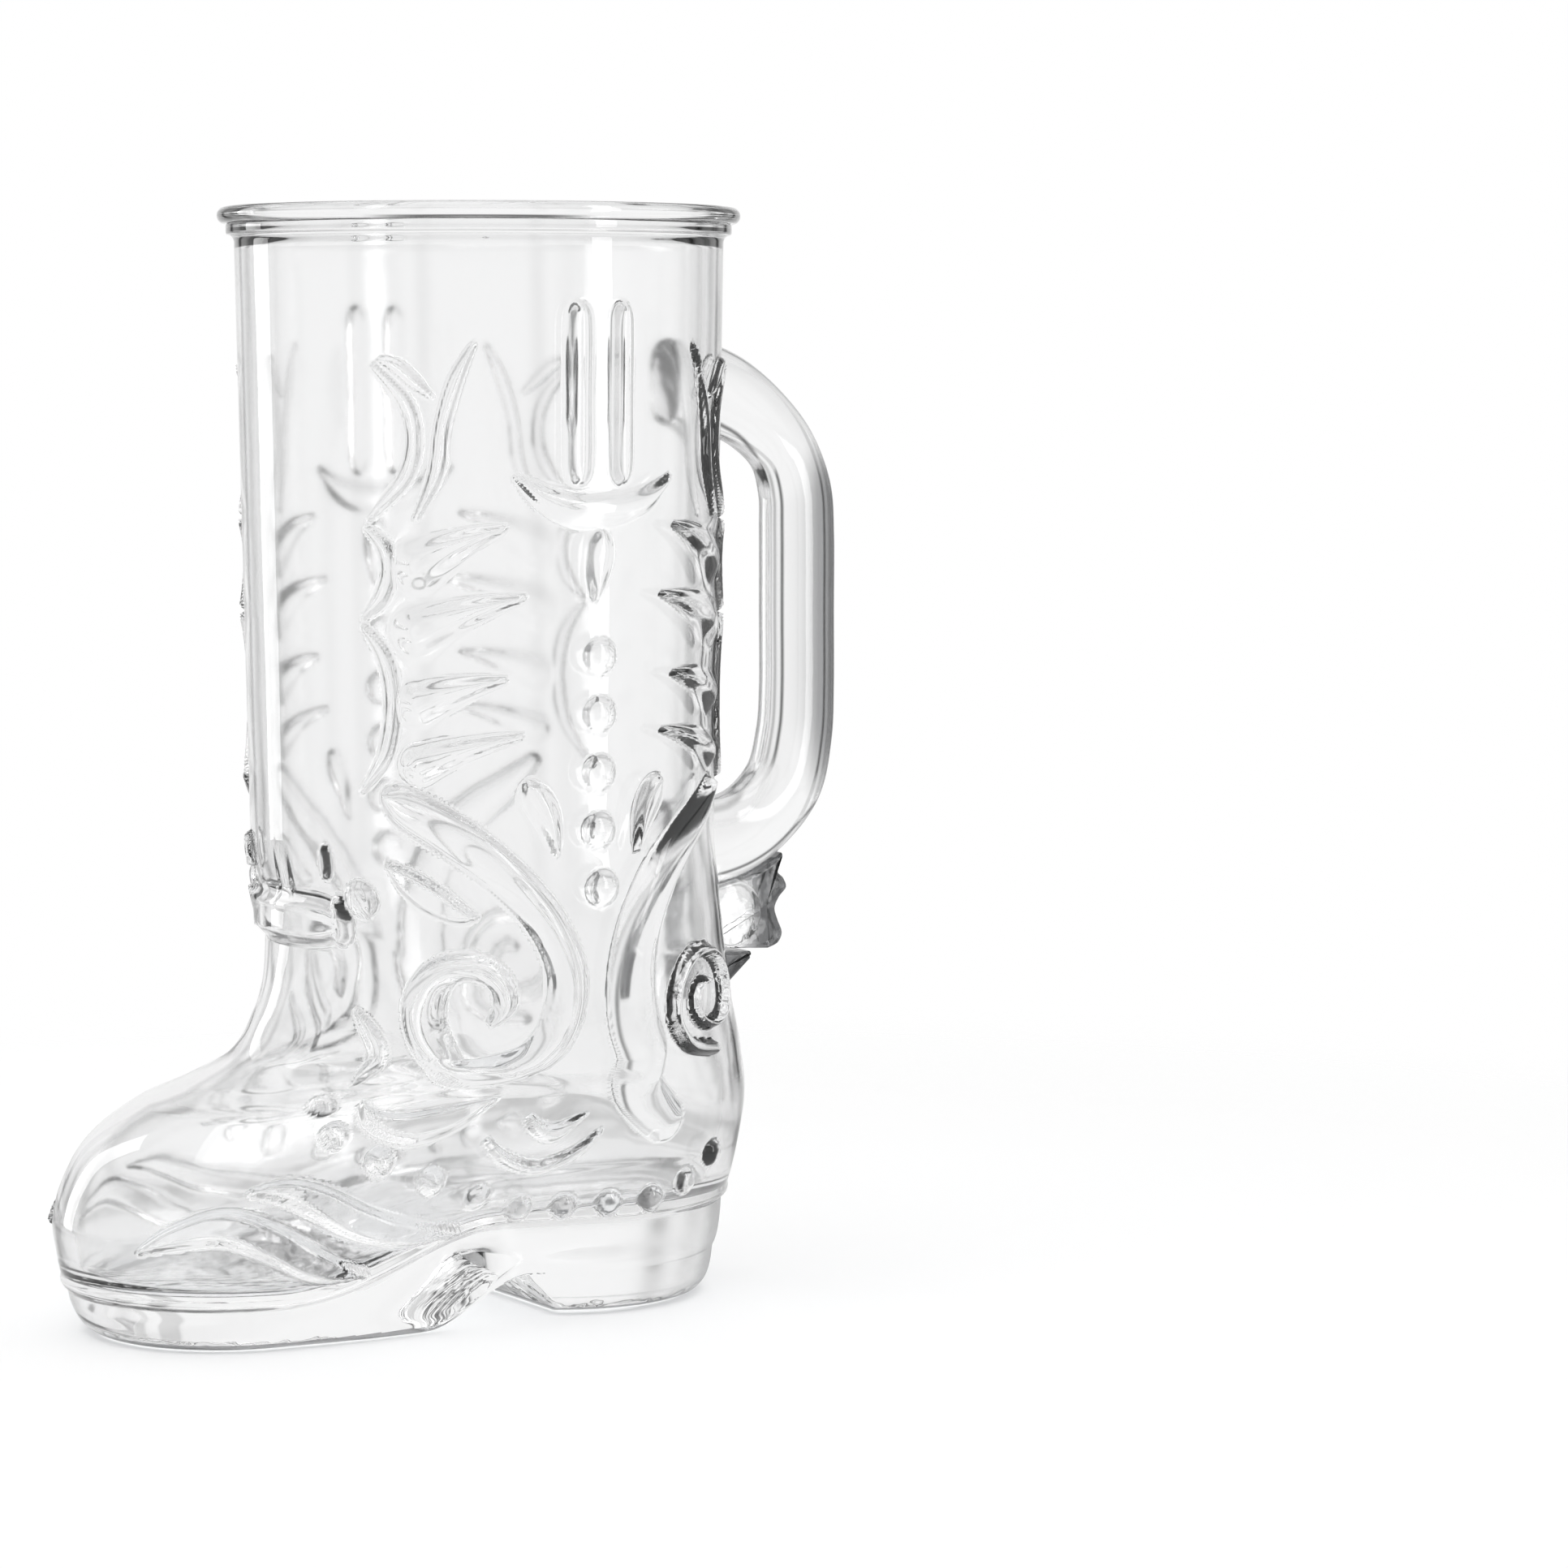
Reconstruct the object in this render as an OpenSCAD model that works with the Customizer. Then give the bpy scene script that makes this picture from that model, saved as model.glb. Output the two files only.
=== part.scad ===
/* [Leg] */
// Height of the glass from the table to the top of the rim
total_h = 200; // [180:1:260]
// Outer diameter of the leg just under the rim
leg_top_d = 88.8; // [84:0.1:94]
// Outer diameter of the leg at the ankle
ankle_d = 85; // [80:0.5:88]
// Height of the ankle, where the straight leg begins
ankle_h = 88; // [80:1:100]
// Thickness of the glass wall
wall = 4; // [2.5:0.1:5]

/* [Rim] */
// How far the bead round the mouth stands out past the step under it
bead_step = 1.6; // [0.4:0.1:4]
// Height of the bead round the mouth
bead_h = 3; // [2:0.1:5]
// How far the step under the bead stands out past the leg
collar_step = 1.5; // [0.8:0.1:2.4]
// Height of the step and its cove under the bead
collar_h = 4.5; // [3.5:0.1:8]
// Width of the lip at the mouth, from inside to outside
lip_w = 5.2; // [4.5:0.1:6.5]

/* [Foot] */
// From the middle of the leg to the tip of the toe
toe_reach = 83.5; // [75:0.5:95]
// From the middle of the leg to the back of the heel
heel_reach = 50; // [46:0.5:54]
// Width of the toe
toe_w = 63; // [54:0.5:68]
// Width of the heel
heel_w = 70; // [64:0.5:76]
// Height of the front sole, from the table to the welt
sole_h = 7.5; // [6:0.1:10]
// How far the welt climbs from the toe to the heel
welt_rise = 10; // [6:0.1:14]
// Thickness of the floor of the hollow over the welt
floor_t = 2.5; // [2:0.1:5]

/* [Sole and heel] */
// Height of the heel block, and of the arch in front of it
heel_h = 8.5; // [6:0.1:9]
// From the middle of the leg forward to the front sole's last touch of the table
arch_front = 26; // [20:0.5:32]
// From the middle of the leg forward to the top of the heel block's front face
breast_x = 5; // [0:0.5:8]
// How far the underside's edge draws in from the welt
sole_inset = 5; // [3:0.1:6]

/* [Handle] */
// From the middle of the leg to the outside of the grip
handle_reach = 75.4; // [72:0.1:82]
// Thickness of the grip, outwards from the leg
grip_t = 14.2; // [11:0.1:16]
// Width of the grip
grip_w = 12; // [9:0.1:15]
// Height of the middle of the handle's upper end
handle_top_h = 168.5; // [160:0.5:175]
// Height of the middle of the handle's lower end
handle_low_h = 81.5; // [79:0.5:84]

/* [Spur] */
// Thickness of the spur's toothed plate
spur_t = 6.8; // [4:0.1:10]
// From the middle of the leg to the tips of the spur's teeth
spur_reach = 64.2; // [61:0.1:70]
// Diameter of the round boss on each side of the spur
boss_d = 13; // [9:0.1:15]
// How far each boss stands out from the plate
boss_proud = 1.6; // [0.8:0.1:3]

/* [Raised ornament] */
// How far the cords stand out of the wall
cord_h = 1.2; // [0.6:0.1:2]
// How far the scrolls, flames and leaves stand out of the wall
relief_h = 1.5; // [0.8:0.1:2.2]
// Width of a cord
cord_w = 2.6; // [1.6:0.1:3.2]
// Diameter of the studs down each side of the leg
stud_d = 6.6; // [4:0.1:8]
// Diameter of the small studs over the welt
welt_stud_d = 4.8; // [3:0.1:5.4]
// How far the ankle strap stands out of the wall
strap_h = 2; // [1:0.1:2.6]

/* [Hidden] */

// The clear glass, and the slightly darker tint of the raised ornament
glass = [0.86, 0.90, 0.92, 0.45];
relief = [0.62, 0.70, 0.75, 0.8];

// Gap that keeps a raised piece from cutting into the curved wall under it
seat = 0.12;
// Radii and heights that the sizes give
ankle_r = ankle_d / 2;
leg_top_r = leg_top_d / 2;
collar_r = leg_top_r + collar_step;
rim_r = collar_r + bead_step;
lip_r = rim_r - lip_w;
toe_r = toe_w / 2;
heel_r = heel_w / 2;
bead_z = total_h - bead_h;
leg_top_h = bead_z - collar_h;
foot_span = ankle_h - sole_h;
leg_span = leg_top_h - ankle_h;
// The part's middle, between the toe and the handle, lies over the origin
middle_x = (toe_reach - handle_reach) / 2;

// Steps round half of the foot, and round a lathe-turned ring
half_steps = 22;
turn_steps = 96;

// How the foot's belt line changes with height. Each row: share of the way from the sole up to
// the ankle, then shares of the heel's reach, the heel's radius, the toe's reach, the toe's
// radius, and how far the toe's circle has already become the ankle's.
foot_shares = [
    [0, 0.4, 1.2, 0.94, 0.92, 0],
    [0.03, 0.55, 1.08, 0.965, 0.955, 0],
    [0.08, 0.7, 1, 0.985, 0.985, 0],
    [0.155, 0.86, 0.94, 1, 1, 0],
    [0.255, 1, 0.83, 0.94, 0.955, 0],
    [0.34, 1, 0.7, 0.825, 0.85, 0],
    [0.415, 0.9, 0.56, 0.61, 0.68, 0],
    [0.455, 0.84, 0.5, 0.4, 0.56, 0],
    [0.505, 0.74, 0.42, 0.19, 0.4, 0.04],
    [0.59, 0.55, 0.3, 0.065, 0.2, 0.25],
    [0.68, 0.39, 0.19, -0.012, 0.08, 0.52],
    [0.84, 0.16, 0.05, -0.049, 0, 0.9],
    [1, 0, 0, 0, 0, 1]];
// Heights of the foot shell's rings, as shares of the way from the sole to the ankle
ring_shares = [0, 0.03, 0.08, 0.13, 0.18, 0.23, 0.28, 0.33, 0.37, 0.4, 0.43, 0.46, 0.49,
    0.53, 0.58, 0.65, 0.73, 0.82, 0.91, 1];
// The welt starts to climb and stops, as shares of the toe's reach in front of the leg's middle
climb_start_share = 0.66;
climb_end_share = 0.144;
// The levels stop tipping with the welt at this share of the ankle's height
level_share = 0.68;
// The waist of the sole: depth, place and length as shares of the half width and the toe's reach
waist_share = 0.12;
waist_x_share = 0.168;
waist_run_share = 0.2;
waist_top_share = 0.22;

function ease(t) = let (u = min(1, max(0, t))) u * u * (3 - 2 * u);
function mix(a, b, t) = a + (b - a) * t;
function row_slope(rows, k, col) =
    let (a = max(0, k - 1), b = min(len(rows) - 1, k + 1))
    (rows[b][col] - rows[a][col]) / (rows[b][0] - rows[a][0]);
function row_at(rows, s, k = 0) =
    k < len(rows) - 2 && s > rows[k + 1][0] ? row_at(rows, s, k + 1) : k;
// A smooth curve through one column of a table
function smooth_row(rows, col, s) =
    let (u = min(1, max(0, s)), k = row_at(rows, u), run = rows[k + 1][0] - rows[k][0],
        t = (u - rows[k][0]) / run, m0 = row_slope(rows, k, col) * run,
        m1 = row_slope(rows, k + 1, col) * run)
    (2 * t ^ 3 - 3 * t ^ 2 + 1) * rows[k][col] + (t ^ 3 - 2 * t ^ 2 + t) * m0
        + (3 * t ^ 2 - 2 * t ^ 3) * rows[k + 1][col] + (t ^ 3 - t ^ 2) * m1;

// Height of the welt, which climbs from the front sole to the heel seat
function welt_z(x) =
    sole_h + welt_rise * ease((x / toe_reach + climb_start_share) / (climb_start_share - climb_end_share));
// Middle and radius of the heel's circle and of the toe's circle at a level
function heel_radius(s) = mix(ankle_r, heel_r, smooth_row(foot_shares, 2, s));
function heel_middle(s) = mix(ankle_r, heel_reach, smooth_row(foot_shares, 1, s)) - heel_radius(s);
function toe_radius(s) = toe_r * smooth_row(foot_shares, 4, s) + ankle_r * smooth_row(foot_shares, 5, s);
function toe_middle(s) = toe_radius(s) - mix(ankle_r, toe_reach, smooth_row(foot_shares, 3, s));

// A point on the belt line round two circles, f from 0 at the heel's back to 1 at the toe's tip
function belt(ch, rh, ct, rt, f) =
    let (d = max(wall / 1000, ch - ct), turn = acos(min(1, max(-1, (rt - rh) / d))),
        straight = sqrt(max(0, d * d - (rh - rt) ^ 2)), heel_arc = rh * turn * PI / 180,
        toe_arc = rt * (180 - turn) * PI / 180, s = f * (heel_arc + straight + toe_arc))
    s < heel_arc ? let (a = s / rh * 180 / PI) [ch + rh * cos(a), rh * sin(a)]
    : s < heel_arc + straight
        ? let (k = (s - heel_arc) / straight)
            [mix(ch, ct, k) + mix(rh, rt, k) * cos(turn), mix(rh, rt, k) * sin(turn)]
    : let (a = turn + (s - heel_arc - straight) / rt * 180 / PI) [ct + rt * cos(a), rt * sin(a)];

// How far a point at a level is lifted by the climb of the welt
function tip_lift(x, h) = (welt_z(x) - sole_h) * (1 - ease((h - sole_h) / (level_share * ankle_h - sole_h)));
function waist(x, h) =
    1 - waist_share * exp(-((x / toe_reach + waist_x_share) / waist_run_share) ^ 2)
        * (1 - ease((h - sole_h) / (waist_top_share * foot_span)));
function leg_radius(h) = mix(ankle_r, leg_top_r, (h - ankle_h) / leg_span);

// The outer skin of the foot and leg: f goes round from the heel's back, h is the level.
// Past f = 1 it comes back along the other side.
function skin_side(f, h) =
    h >= ankle_h ? [leg_radius(h) * cos(180 * f), leg_radius(h) * sin(180 * f), h]
    : let (s = (h - sole_h) / foot_span,
        p = belt(heel_middle(s), heel_radius(s), toe_middle(s), toe_radius(s), f))
        [p.x, p.y * waist(p.x, h), h + tip_lift(p.x, h)];
function other_side(p) = [p.x, -p.y, p.z];
function skin(f, h) =
    f > 1 ? other_side(skin_side(2 - f, h)) : f < 0 ? other_side(skin_side(-f, h)) : skin_side(f, h);

// Slope of the instep at a level, which tells how far the inner skin drops under the outer one
function instep_slope(s) =
    let (e = 0.01, run = mix(ankle_r, toe_reach, smooth_row(foot_shares, 3, s - e))
        - mix(ankle_r, toe_reach, smooth_row(foot_shares, 3, s + e)))
    max(0, run / (2 * e * foot_span)) * ease((1 - s) / (1 - level_share));
// One ring of the inner skin: the same belt line drawn in by the wall and dropped with the slope
function inner_ring(h, extra, level) =
    let (s = (h - sole_h) / foot_span, m = instep_slope(s), rise = sqrt(1 + m * m),
        rh = heel_radius(s) - wall - extra, rt = toe_radius(s) - wall / rise - extra)
    [for (i = [0:2 * half_steps - 1])
        let (f = i / half_steps,
            p = belt(heel_middle(s), rh, toe_middle(s), rt, f > 1 ? 2 - f : f))
        [p.x, (f > 1 ? -1 : 1) * p.y * waist(p.x, h), level + tip_lift(p.x, level)]];
function inner_level(s) = let (m = instep_slope(s)) mix(sole_h, ankle_h, s) - wall * m / sqrt(1 + m * m);

// Faces between rings of equal count, and flat strips that close the first and the last ring
function tube_faces(rings, n) =
    [for (k = [0:rings - 2], i = [0:n - 1])
        let (a = k * n + i, b = k * n + (i + 1) % n) each [[a, b, b + n], [a, b + n, a + n]]];
function strip_cap(first, n, flip) =
    [for (i = [0:n / 2 - 1])
        let (a = first + i, b = first + i + 1, c = first + (n - i - 1) % n, d = first + (n - i) % n,
            quads = i == 0 ? [[a, b, c]] : i == n / 2 - 1 ? [[a, b, d]] : [[a, b, c], [a, c, d]])
        each [for (q = quads) flip ? [q[2], q[1], q[0]] : q]];
module stack(rings) {
    n = len(rings[0]);
    points = [for (r = rings, p = r) p];
    polyhedron(points, concat(
        [for (t = tube_faces(len(rings), n)) [t[2], t[1], t[0]]],
        strip_cap(0, n, false),
        strip_cap((len(rings) - 1) * n, n, true)));
}

function unit(v) = v / norm(v);
function skin_along(f, h) = (skin(f + 0.004, h) - skin(f - 0.004, h)) / 0.008;
function skin_up(f, h) = (skin(f, h + wall / 8) - skin(f, h - wall / 8)) / (wall / 4);
function skin_normal(f, h) = unit(cross(skin_along(f, h), skin_up(f, h)));
// A point beside a place on the skin, s to the side and out by lift
function beside(f, h, side, s, lift) =
    let (u = skin_along(f, h), v = skin_up(f, h), f2 = f + s * (side * u) / (u * u),
        h2 = h + s * (side * v) / (v * v))
    skin(f2, h2) + lift * skin_normal(f2, h2);

// A smooth run of places through a short list of rows
function row_mix(rows, k, t) =
    let (n = len(rows) - 1, p0 = rows[max(0, k - 1)], p1 = rows[k], p2 = rows[min(n, k + 1)],
        p3 = rows[min(n, k + 2)])
    (2 * p1 + (p2 - p0) * t + (2 * p0 - 5 * p1 + 4 * p2 - p3) * t ^ 2
        + (3 * p1 - p0 - 3 * p2 + p3) * t ^ 3) / 2;
function run_through(rows, steps) =
    [for (i = [0:steps]) let (t = i / steps * (len(rows) - 1), k = min(len(rows) - 2, floor(t)))
        row_mix(rows, k, t - k)];

// A raised ridge on the skin. Each row: place round, level, half width.
ridge_shares = [[-1, 0], [-0.45, 1], [0.45, 1], [1, 0], [0, 0]];
module ridge(rows, height, steps) {
    run = run_through(rows, steps);
    path = [for (r = run) skin(r[0], r[1])];
    rings = [for (i = [0:steps])
        let (r = run[i], along = unit(path[min(steps, i + 1)] - path[max(0, i - 1)]),
            side = cross(skin_normal(r[0], r[1]), along))
        [for (q = ridge_shares) beside(r[0], r[1], side, q[0] * r[2], seat + q[1] * height)]];
    n = len(ridge_shares);
    last = steps * n;
    polyhedron([for (r = rings, p = r) p], concat(
        tube_faces(steps + 1, n),
        [for (i = [1:n - 2]) [0, i + 1, i]],
        [for (i = [1:n - 2]) [last, last + i, last + i + 1]]));
}
// The same piece on both sides of the boot
module both_sides() {
    children();
    mirror([0, 1, 0]) children();
}
// Levels given as shares of the leg and of the foot
function on_leg(s) = ankle_h + s * leg_span;
function on_foot(s) = sole_h + s * foot_span;
function leg_rows(shares, width) = [for (r = shares) [r[0], on_leg(r[1]), r[2] * width]];
function foot_rows(shares, width) = [for (r = shares) [r[0], on_foot(r[1]), r[2] * width]];
function mirrored_rows(shares) = [for (r = shares) [1 - r[0], r[1], r[2]]];

// A domed stud that stands square on the skin
module stud(f, h, d, height) {
    p = skin(f, h);
    out = skin_normal(f, h);
    ball_r = (d * d / 4 + height * height) / (2 * height);
    translate(p + seat * out) rotate([0, acos(out.z), atan2(out.y, out.x)])
        intersection() {
            translate([0, 0, height - ball_r]) sphere(ball_r, $fn = 96);
            cylinder(h = height, d = d, $fn = 96);
        }
}

function arc(x, z, r, from, to, steps) =
    [for (i = [0:steps]) let (a = mix(from, to, i / steps)) [x + r * cos(a), z + r * sin(a)]];

// The bead round the mouth, round on both edges
module rim_bead() {
    outer_round = bead_h / 2;
    inner_round = bead_h / 3;
    color(glass) translate([middle_x, 0, 0]) rotate_extrude($fn = turn_steps)
        polygon(concat([[lip_r, bead_z]],
            arc(rim_r - outer_round, bead_z + outer_round, outer_round, -90, 90, 8),
            arc(lip_r + inner_round, total_h - inner_round, inner_round, 90, 180, 4)));
}

// The step under the bead, with its cove down to the leg
module rim_collar() {
    color(glass) translate([middle_x, 0, 0]) rotate_extrude($fn = turn_steps)
        polygon(concat([[leg_top_r - wall, leg_top_h], [leg_top_r, leg_top_h]],
            arc(collar_r, leg_top_h + collar_h / 4, collar_step, 180, 90, 6),
            [[collar_r, bead_z], [lip_r, bead_z]]));
}

// The straight leg, a cone that opens a little towards the top
module leg_wall() {
    color(glass) translate([middle_x, 0, 0]) rotate_extrude($fn = turn_steps)
        polygon([[ankle_r - wall, ankle_h], [ankle_r, ankle_h], [leg_top_r, leg_top_h],
            [leg_top_r - wall, leg_top_h]]);
}

// The hollow foot and ankle: outer rings up, inner rings down to the floor
module foot_shell() {
    floor_h = sole_h + floor_t;
    corner = wall;
    outer = [for (s = ring_shares) [for (i = [0:2 * half_steps - 1]) skin(i / half_steps, on_foot(s))]];
    inner = [for (k = [len(ring_shares) - 1:-1:0])
        let (s = ring_shares[k])
        if (inner_level(s) > floor_h + corner) inner_ring(on_foot(s), 0, inner_level(s))];
    low = [for (a = [0:30:90])
        inner_ring(floor_h + corner, corner * (1 - cos(a)), floor_h + corner * (1 - sin(a)))];
    color(glass) translate([middle_x, 0, 0]) stack(concat(outer, inner, low));
}

// Height of the underside: flat under the forepart, an arch, then the heel block's top
function under_z(x) = heel_h * ease((x + arch_front) / (arch_front - breast_x));
under_shares = [[0, 0], [0.3, 0.1], [0.6, 0.3], [0.8, 0.52], [0.93, 0.78], [1, 1]];
function sole_ring(depth_share, inset) =
    let (rh = heel_radius(0) - inset, rt = toe_radius(0) - inset)
    [for (i = [0:2 * half_steps - 1])
        let (f = i / half_steps, p = belt(heel_middle(0), rh, toe_middle(0), rt, f > 1 ? 2 - f : f))
        [p.x, (f > 1 ? -1 : 1) * p.y * waist(p.x, sole_h), mix(welt_z(p.x), under_z(p.x), depth_share)]];
// The sole, from the welt down to the table, with its edge drawn in and the arch behind the tread
module sole() {
    color(glass) translate([middle_x, 0, 0])
        stack([for (k = [len(under_shares) - 1:-1:0])
            sole_ring(under_shares[k][0], sole_inset * under_shares[k][1])]);
}

// The heel block: round behind, with a sloping front face, and drawn in towards the table.
// Each row: share of its height, share of its top radius, share of the slope of the front face.
heel_shares = [[0, 0.72, 0], [0.08, 0.82, 0.12], [0.3, 0.92, 0.35], [0.6, 0.97, 0.65], [1, 1, 1]];
breast_slope_share = 0.95;
heel_steps = 18;
module heel_block() {
    top_r = heel_radius(0) - sole_inset;
    top_x = heel_middle(0);
    rings = [for (row = heel_shares)
        let (r = top_r * row[1], x = top_x + (top_r - r) / 2,
            front = breast_slope_share * heel_h * (1 - row[2]) - breast_x, reach = acos((front - x) / r))
        concat([for (i = [0:heel_steps]) let (a = reach * i / heel_steps)
                [x + r * cos(a), r * sin(a), heel_h * row[0]]],
            [for (i = [heel_steps:-1:1]) let (a = reach * i / heel_steps)
                [x + r * cos(a), -r * sin(a), heel_h * row[0]]])];
    n = len(rings[0]);
    top = (len(rings) - 1) * n;
    color(glass) translate([middle_x, 0, 0]) polyhedron([for (r = rings, p = r) p], concat(
        [for (t = tube_faces(len(rings), n)) [t[2], t[1], t[0]]],
        [for (i = [1:n - 2]) [0, i, i + 1]],
        [for (i = [1:n - 2]) [top, top + i + 1, top + i]]));
}

// Where the wall's back lies at a height, for what stands on it beside the middle line
function wall_back(y, z) =
    z >= ankle_h ? sqrt(leg_radius(z) ^ 2 - y * y)
    : let (s = (z - sole_h) / foot_span) heel_middle(s) + sqrt(heel_radius(s) ^ 2 - y * y);
// The handle's middle line: shares of the way from the wall out to the grip, and of its height
handle_shares = [[0, 1, 1.18], [0.32, 0.985, 1.1], [0.62, 0.95, 0.98], [0.86, 0.89, 0.92],
    [0.985, 0.8, 0.97], [1, 0.7, 1], [1, 0.5, 1], [1, 0.33, 1], [0.975, 0.225, 1.02],
    [0.88, 0.125, 1.05], [0.64, 0.05, 1.06], [0.36, 0.012, 1.12], [0, 0, 1.2]];
handle_steps = 30;
function handle_place(t) =
    let (k = min(len(handle_shares) - 2, floor(t)), r = row_mix(handle_shares, k, t - k),
        z = mix(handle_low_h, handle_top_h, r[1]), near = wall_back(0, z))
    [mix(near, handle_reach - grip_t / 2, r[0]), z, r[2]];
function handle_run(i) = handle_place(i / handle_steps * (len(handle_shares) - 1));
function handle_out(i) =
    let (a = handle_run(max(0, i - 1)), b = handle_run(min(handle_steps, i + 1)))
    unit([a[1] - b[1], b[0] - a[0]]);
// The grip's section: a flattened round bar
section_steps = 12;
function section(a) =
    [sign(cos(a)) * abs(cos(a)) ^ 0.8, sign(sin(a)) * abs(sin(a)) ^ 0.8];
function handle_ring(i) =
    let (p = handle_run(i), out = handle_out(i), end = i == 0 || i == handle_steps)
    [for (k = [0:section_steps - 1])
        let (q = section(360 * k / section_steps), y = q[1] * p[2] * grip_w / 2,
            far = q[0] * p[2] * grip_t / 2, x = p[0] + out[0] * far, z = p[1] + out[1] * far)
        [end ? wall_back(y, z) + seat : x, y, z]];
module handle() {
    rings = [for (i = [0:handle_steps]) handle_ring(i)];
    n = section_steps;
    last = handle_steps * n;
    color(glass) translate([middle_x, 0, 0]) polyhedron([for (r = rings, p = r) p], concat(
        tube_faces(len(rings), n),
        [for (i = [1:n - 2]) [0, i + 1, i]],
        [for (i = [1:n - 2]) [last, last + i, last + i + 1]]));
}

// The spur: a toothed plate between the handle's foot and the heel
spur_low_h = handle_low_h - 1.45 * grip_t;
// Tooth outline: share of the reach past the wall, share of the height from the bottom up
tooth_shares = [[0.78, 0], [0.9, 0.05], [0.95, 0.16], [0.9, 0.3], [0.87, 0.42], [0.92, 0.53],
    [1, 0.63], [0.97, 0.73], [0.91, 0.8], [0.93, 0.9]];
spur_gap = 0.35;
function under_handle(i) =
    let (run = handle_run(i), p = [run[0], run[1]], out = handle_out(i), low = out[1] < 0 ? 1 : -1)
    p + (low * run[2] * grip_t / 2 + spur_gap * low) * out;
module spur_plate(thickness) {
    spur_h = under_handle(handle_steps - 5)[1] - spur_low_h;
    wall_points = [for (k = [4:-1:0])
        let (z = mix(spur_low_h, under_handle(handle_steps)[1] - spur_gap, k / 4))
            [wall_back(0, z) + seat, z]];
    teeth = [for (t = tooth_shares)
        let (z = spur_low_h + spur_h * t[1]) [mix(wall_back(0, z), spur_reach, t[0]), z]];
    top = [for (i = [handle_steps - 5:handle_steps - 1]) under_handle(i)];
    translate([0, thickness / 2, 0]) rotate([90, 0, 0]) linear_extrude(thickness)
        polygon(concat(teeth, top, wall_points));
}
module spur_rowel() {
    color(glass) translate([middle_x, 0, 0]) spur_plate(spur_t);
}
// The round boss on each side of the plate
boss_share = 0.36;
module spur_bosses() {
    z = spur_low_h + boss_d * 0.56;
    x = mix(wall_back(0, z), spur_reach, boss_share);
    ball_r = (boss_d * boss_d / 4 + boss_proud * boss_proud) / (2 * boss_proud);
    color(glass) translate([middle_x, 0, 0]) both_sides()
        translate([x, spur_t / 2, z]) rotate([-90, 0, 0]) intersection() {
            translate([0, 0, boss_proud - ball_r]) sphere(ball_r, $fn = 128);
            cylinder(h = boss_proud, d = boss_d, $fn = 128);
        }
}
// The small wedge that carries the spur from below
module spur_stub() {
    stub_w = spur_t * 1.3;
    stub_h = boss_d * 0.55;
    top_z = spur_low_h - seat;
    low_z = top_z - stub_h;
    reach = wall_back(0, top_z) + boss_d * 0.75;
    color(glass) translate([middle_x, stub_w / 2, 0]) rotate([90, 0, 0]) linear_extrude(stub_w)
        polygon(concat([[wall_back(0, low_z) + boss_d * 0.14, low_z],
            [reach, top_z - stub_h * 0.2], [reach, top_z]],
            [for (k = [6:-1:0]) let (z = mix(low_z, top_z, k / 6)) [wall_back(0, z) + seat, z]]));
}

// The strap across the front of the ankle
strap_shares = [[0.893, 0.818, 0.8], [0.915, 0.817, 0.97], [0.95, 0.815, 1], [1, 0.815, 1],
    [1.05, 0.815, 1], [1.085, 0.817, 0.97], [1.107, 0.818, 0.8]];
strap_w = 10;
module ankle_strap() {
    color(relief) translate([middle_x, 0, 0])
        ridge(foot_rows(strap_shares, strap_w / 2), strap_h, 18);
}
// The buckle's oval plate at each end of the strap
buckle_shares = [[0.8775, 0.775, 0.35], [0.877, 0.79, 0.95], [0.876, 0.82, 1], [0.875, 0.85, 0.9],
    [0.8745, 0.865, 0.3]];
module strap_buckle() {
    color(relief) translate([middle_x, 0, 0]) both_sides()
        ridge(foot_rows(buckle_shares, cord_w * 0.8), strap_h, 6);
}
// The round stud beside the strap, and the long drop over it
module ankle_studs() {
    color(relief) translate([middle_x, 0, 0]) both_sides() {
        stud(0.838, on_foot(0.87), stud_d, relief_h);
        ridge(foot_rows([[0.889, 0.915, 0.3], [0.8885, 0.94, 0.9], [0.888, 0.965, 0.8],
            [0.8875, 0.985, 0.25]], cord_w * 0.6), relief_h, 6);
    }
}

// Two upright loops at the top of the leg, on each side
pull_shares = [[0, 0.615, 0.7], [0, 0.64, 1], [0, 0.75, 1], [0, 0.865, 1], [0, 0.89, 0.75]];
pull_spread_share = 0.031;
pull_w = 5.6;
module pull_straps() {
    color(relief) translate([middle_x, 0, 0]) both_sides()
        for (place = [0.5 - pull_spread_share, 0.5 + pull_spread_share])
            ridge([for (r = leg_rows(pull_shares, pull_w / 2)) [place, r[1], r[2]]], relief_h, 6);
}
// The crescent that the loops hang from, and the drop under it
anchor_shares = [[0.614, 0.612, 0.12], [0.578, 0.58, 0.65], [0.54, 0.562, 0.95], [0.5, 0.557, 1],
    [0.46, 0.562, 0.95], [0.422, 0.58, 0.65], [0.386, 0.612, 0.12]];
drop_shares = [[0.5, 0.512, 0.5], [0.502, 0.49, 0.95], [0.505, 0.455, 0.8], [0.508, 0.405, 0.1]];
anchor_w = 7;
module strap_anchors() {
    color(relief) translate([middle_x, 0, 0]) both_sides() {
        ridge(leg_rows(anchor_shares, anchor_w / 2), relief_h, 12);
        ridge(leg_rows(drop_shares, anchor_w / 2), relief_h, 6);
    }
}

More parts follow.
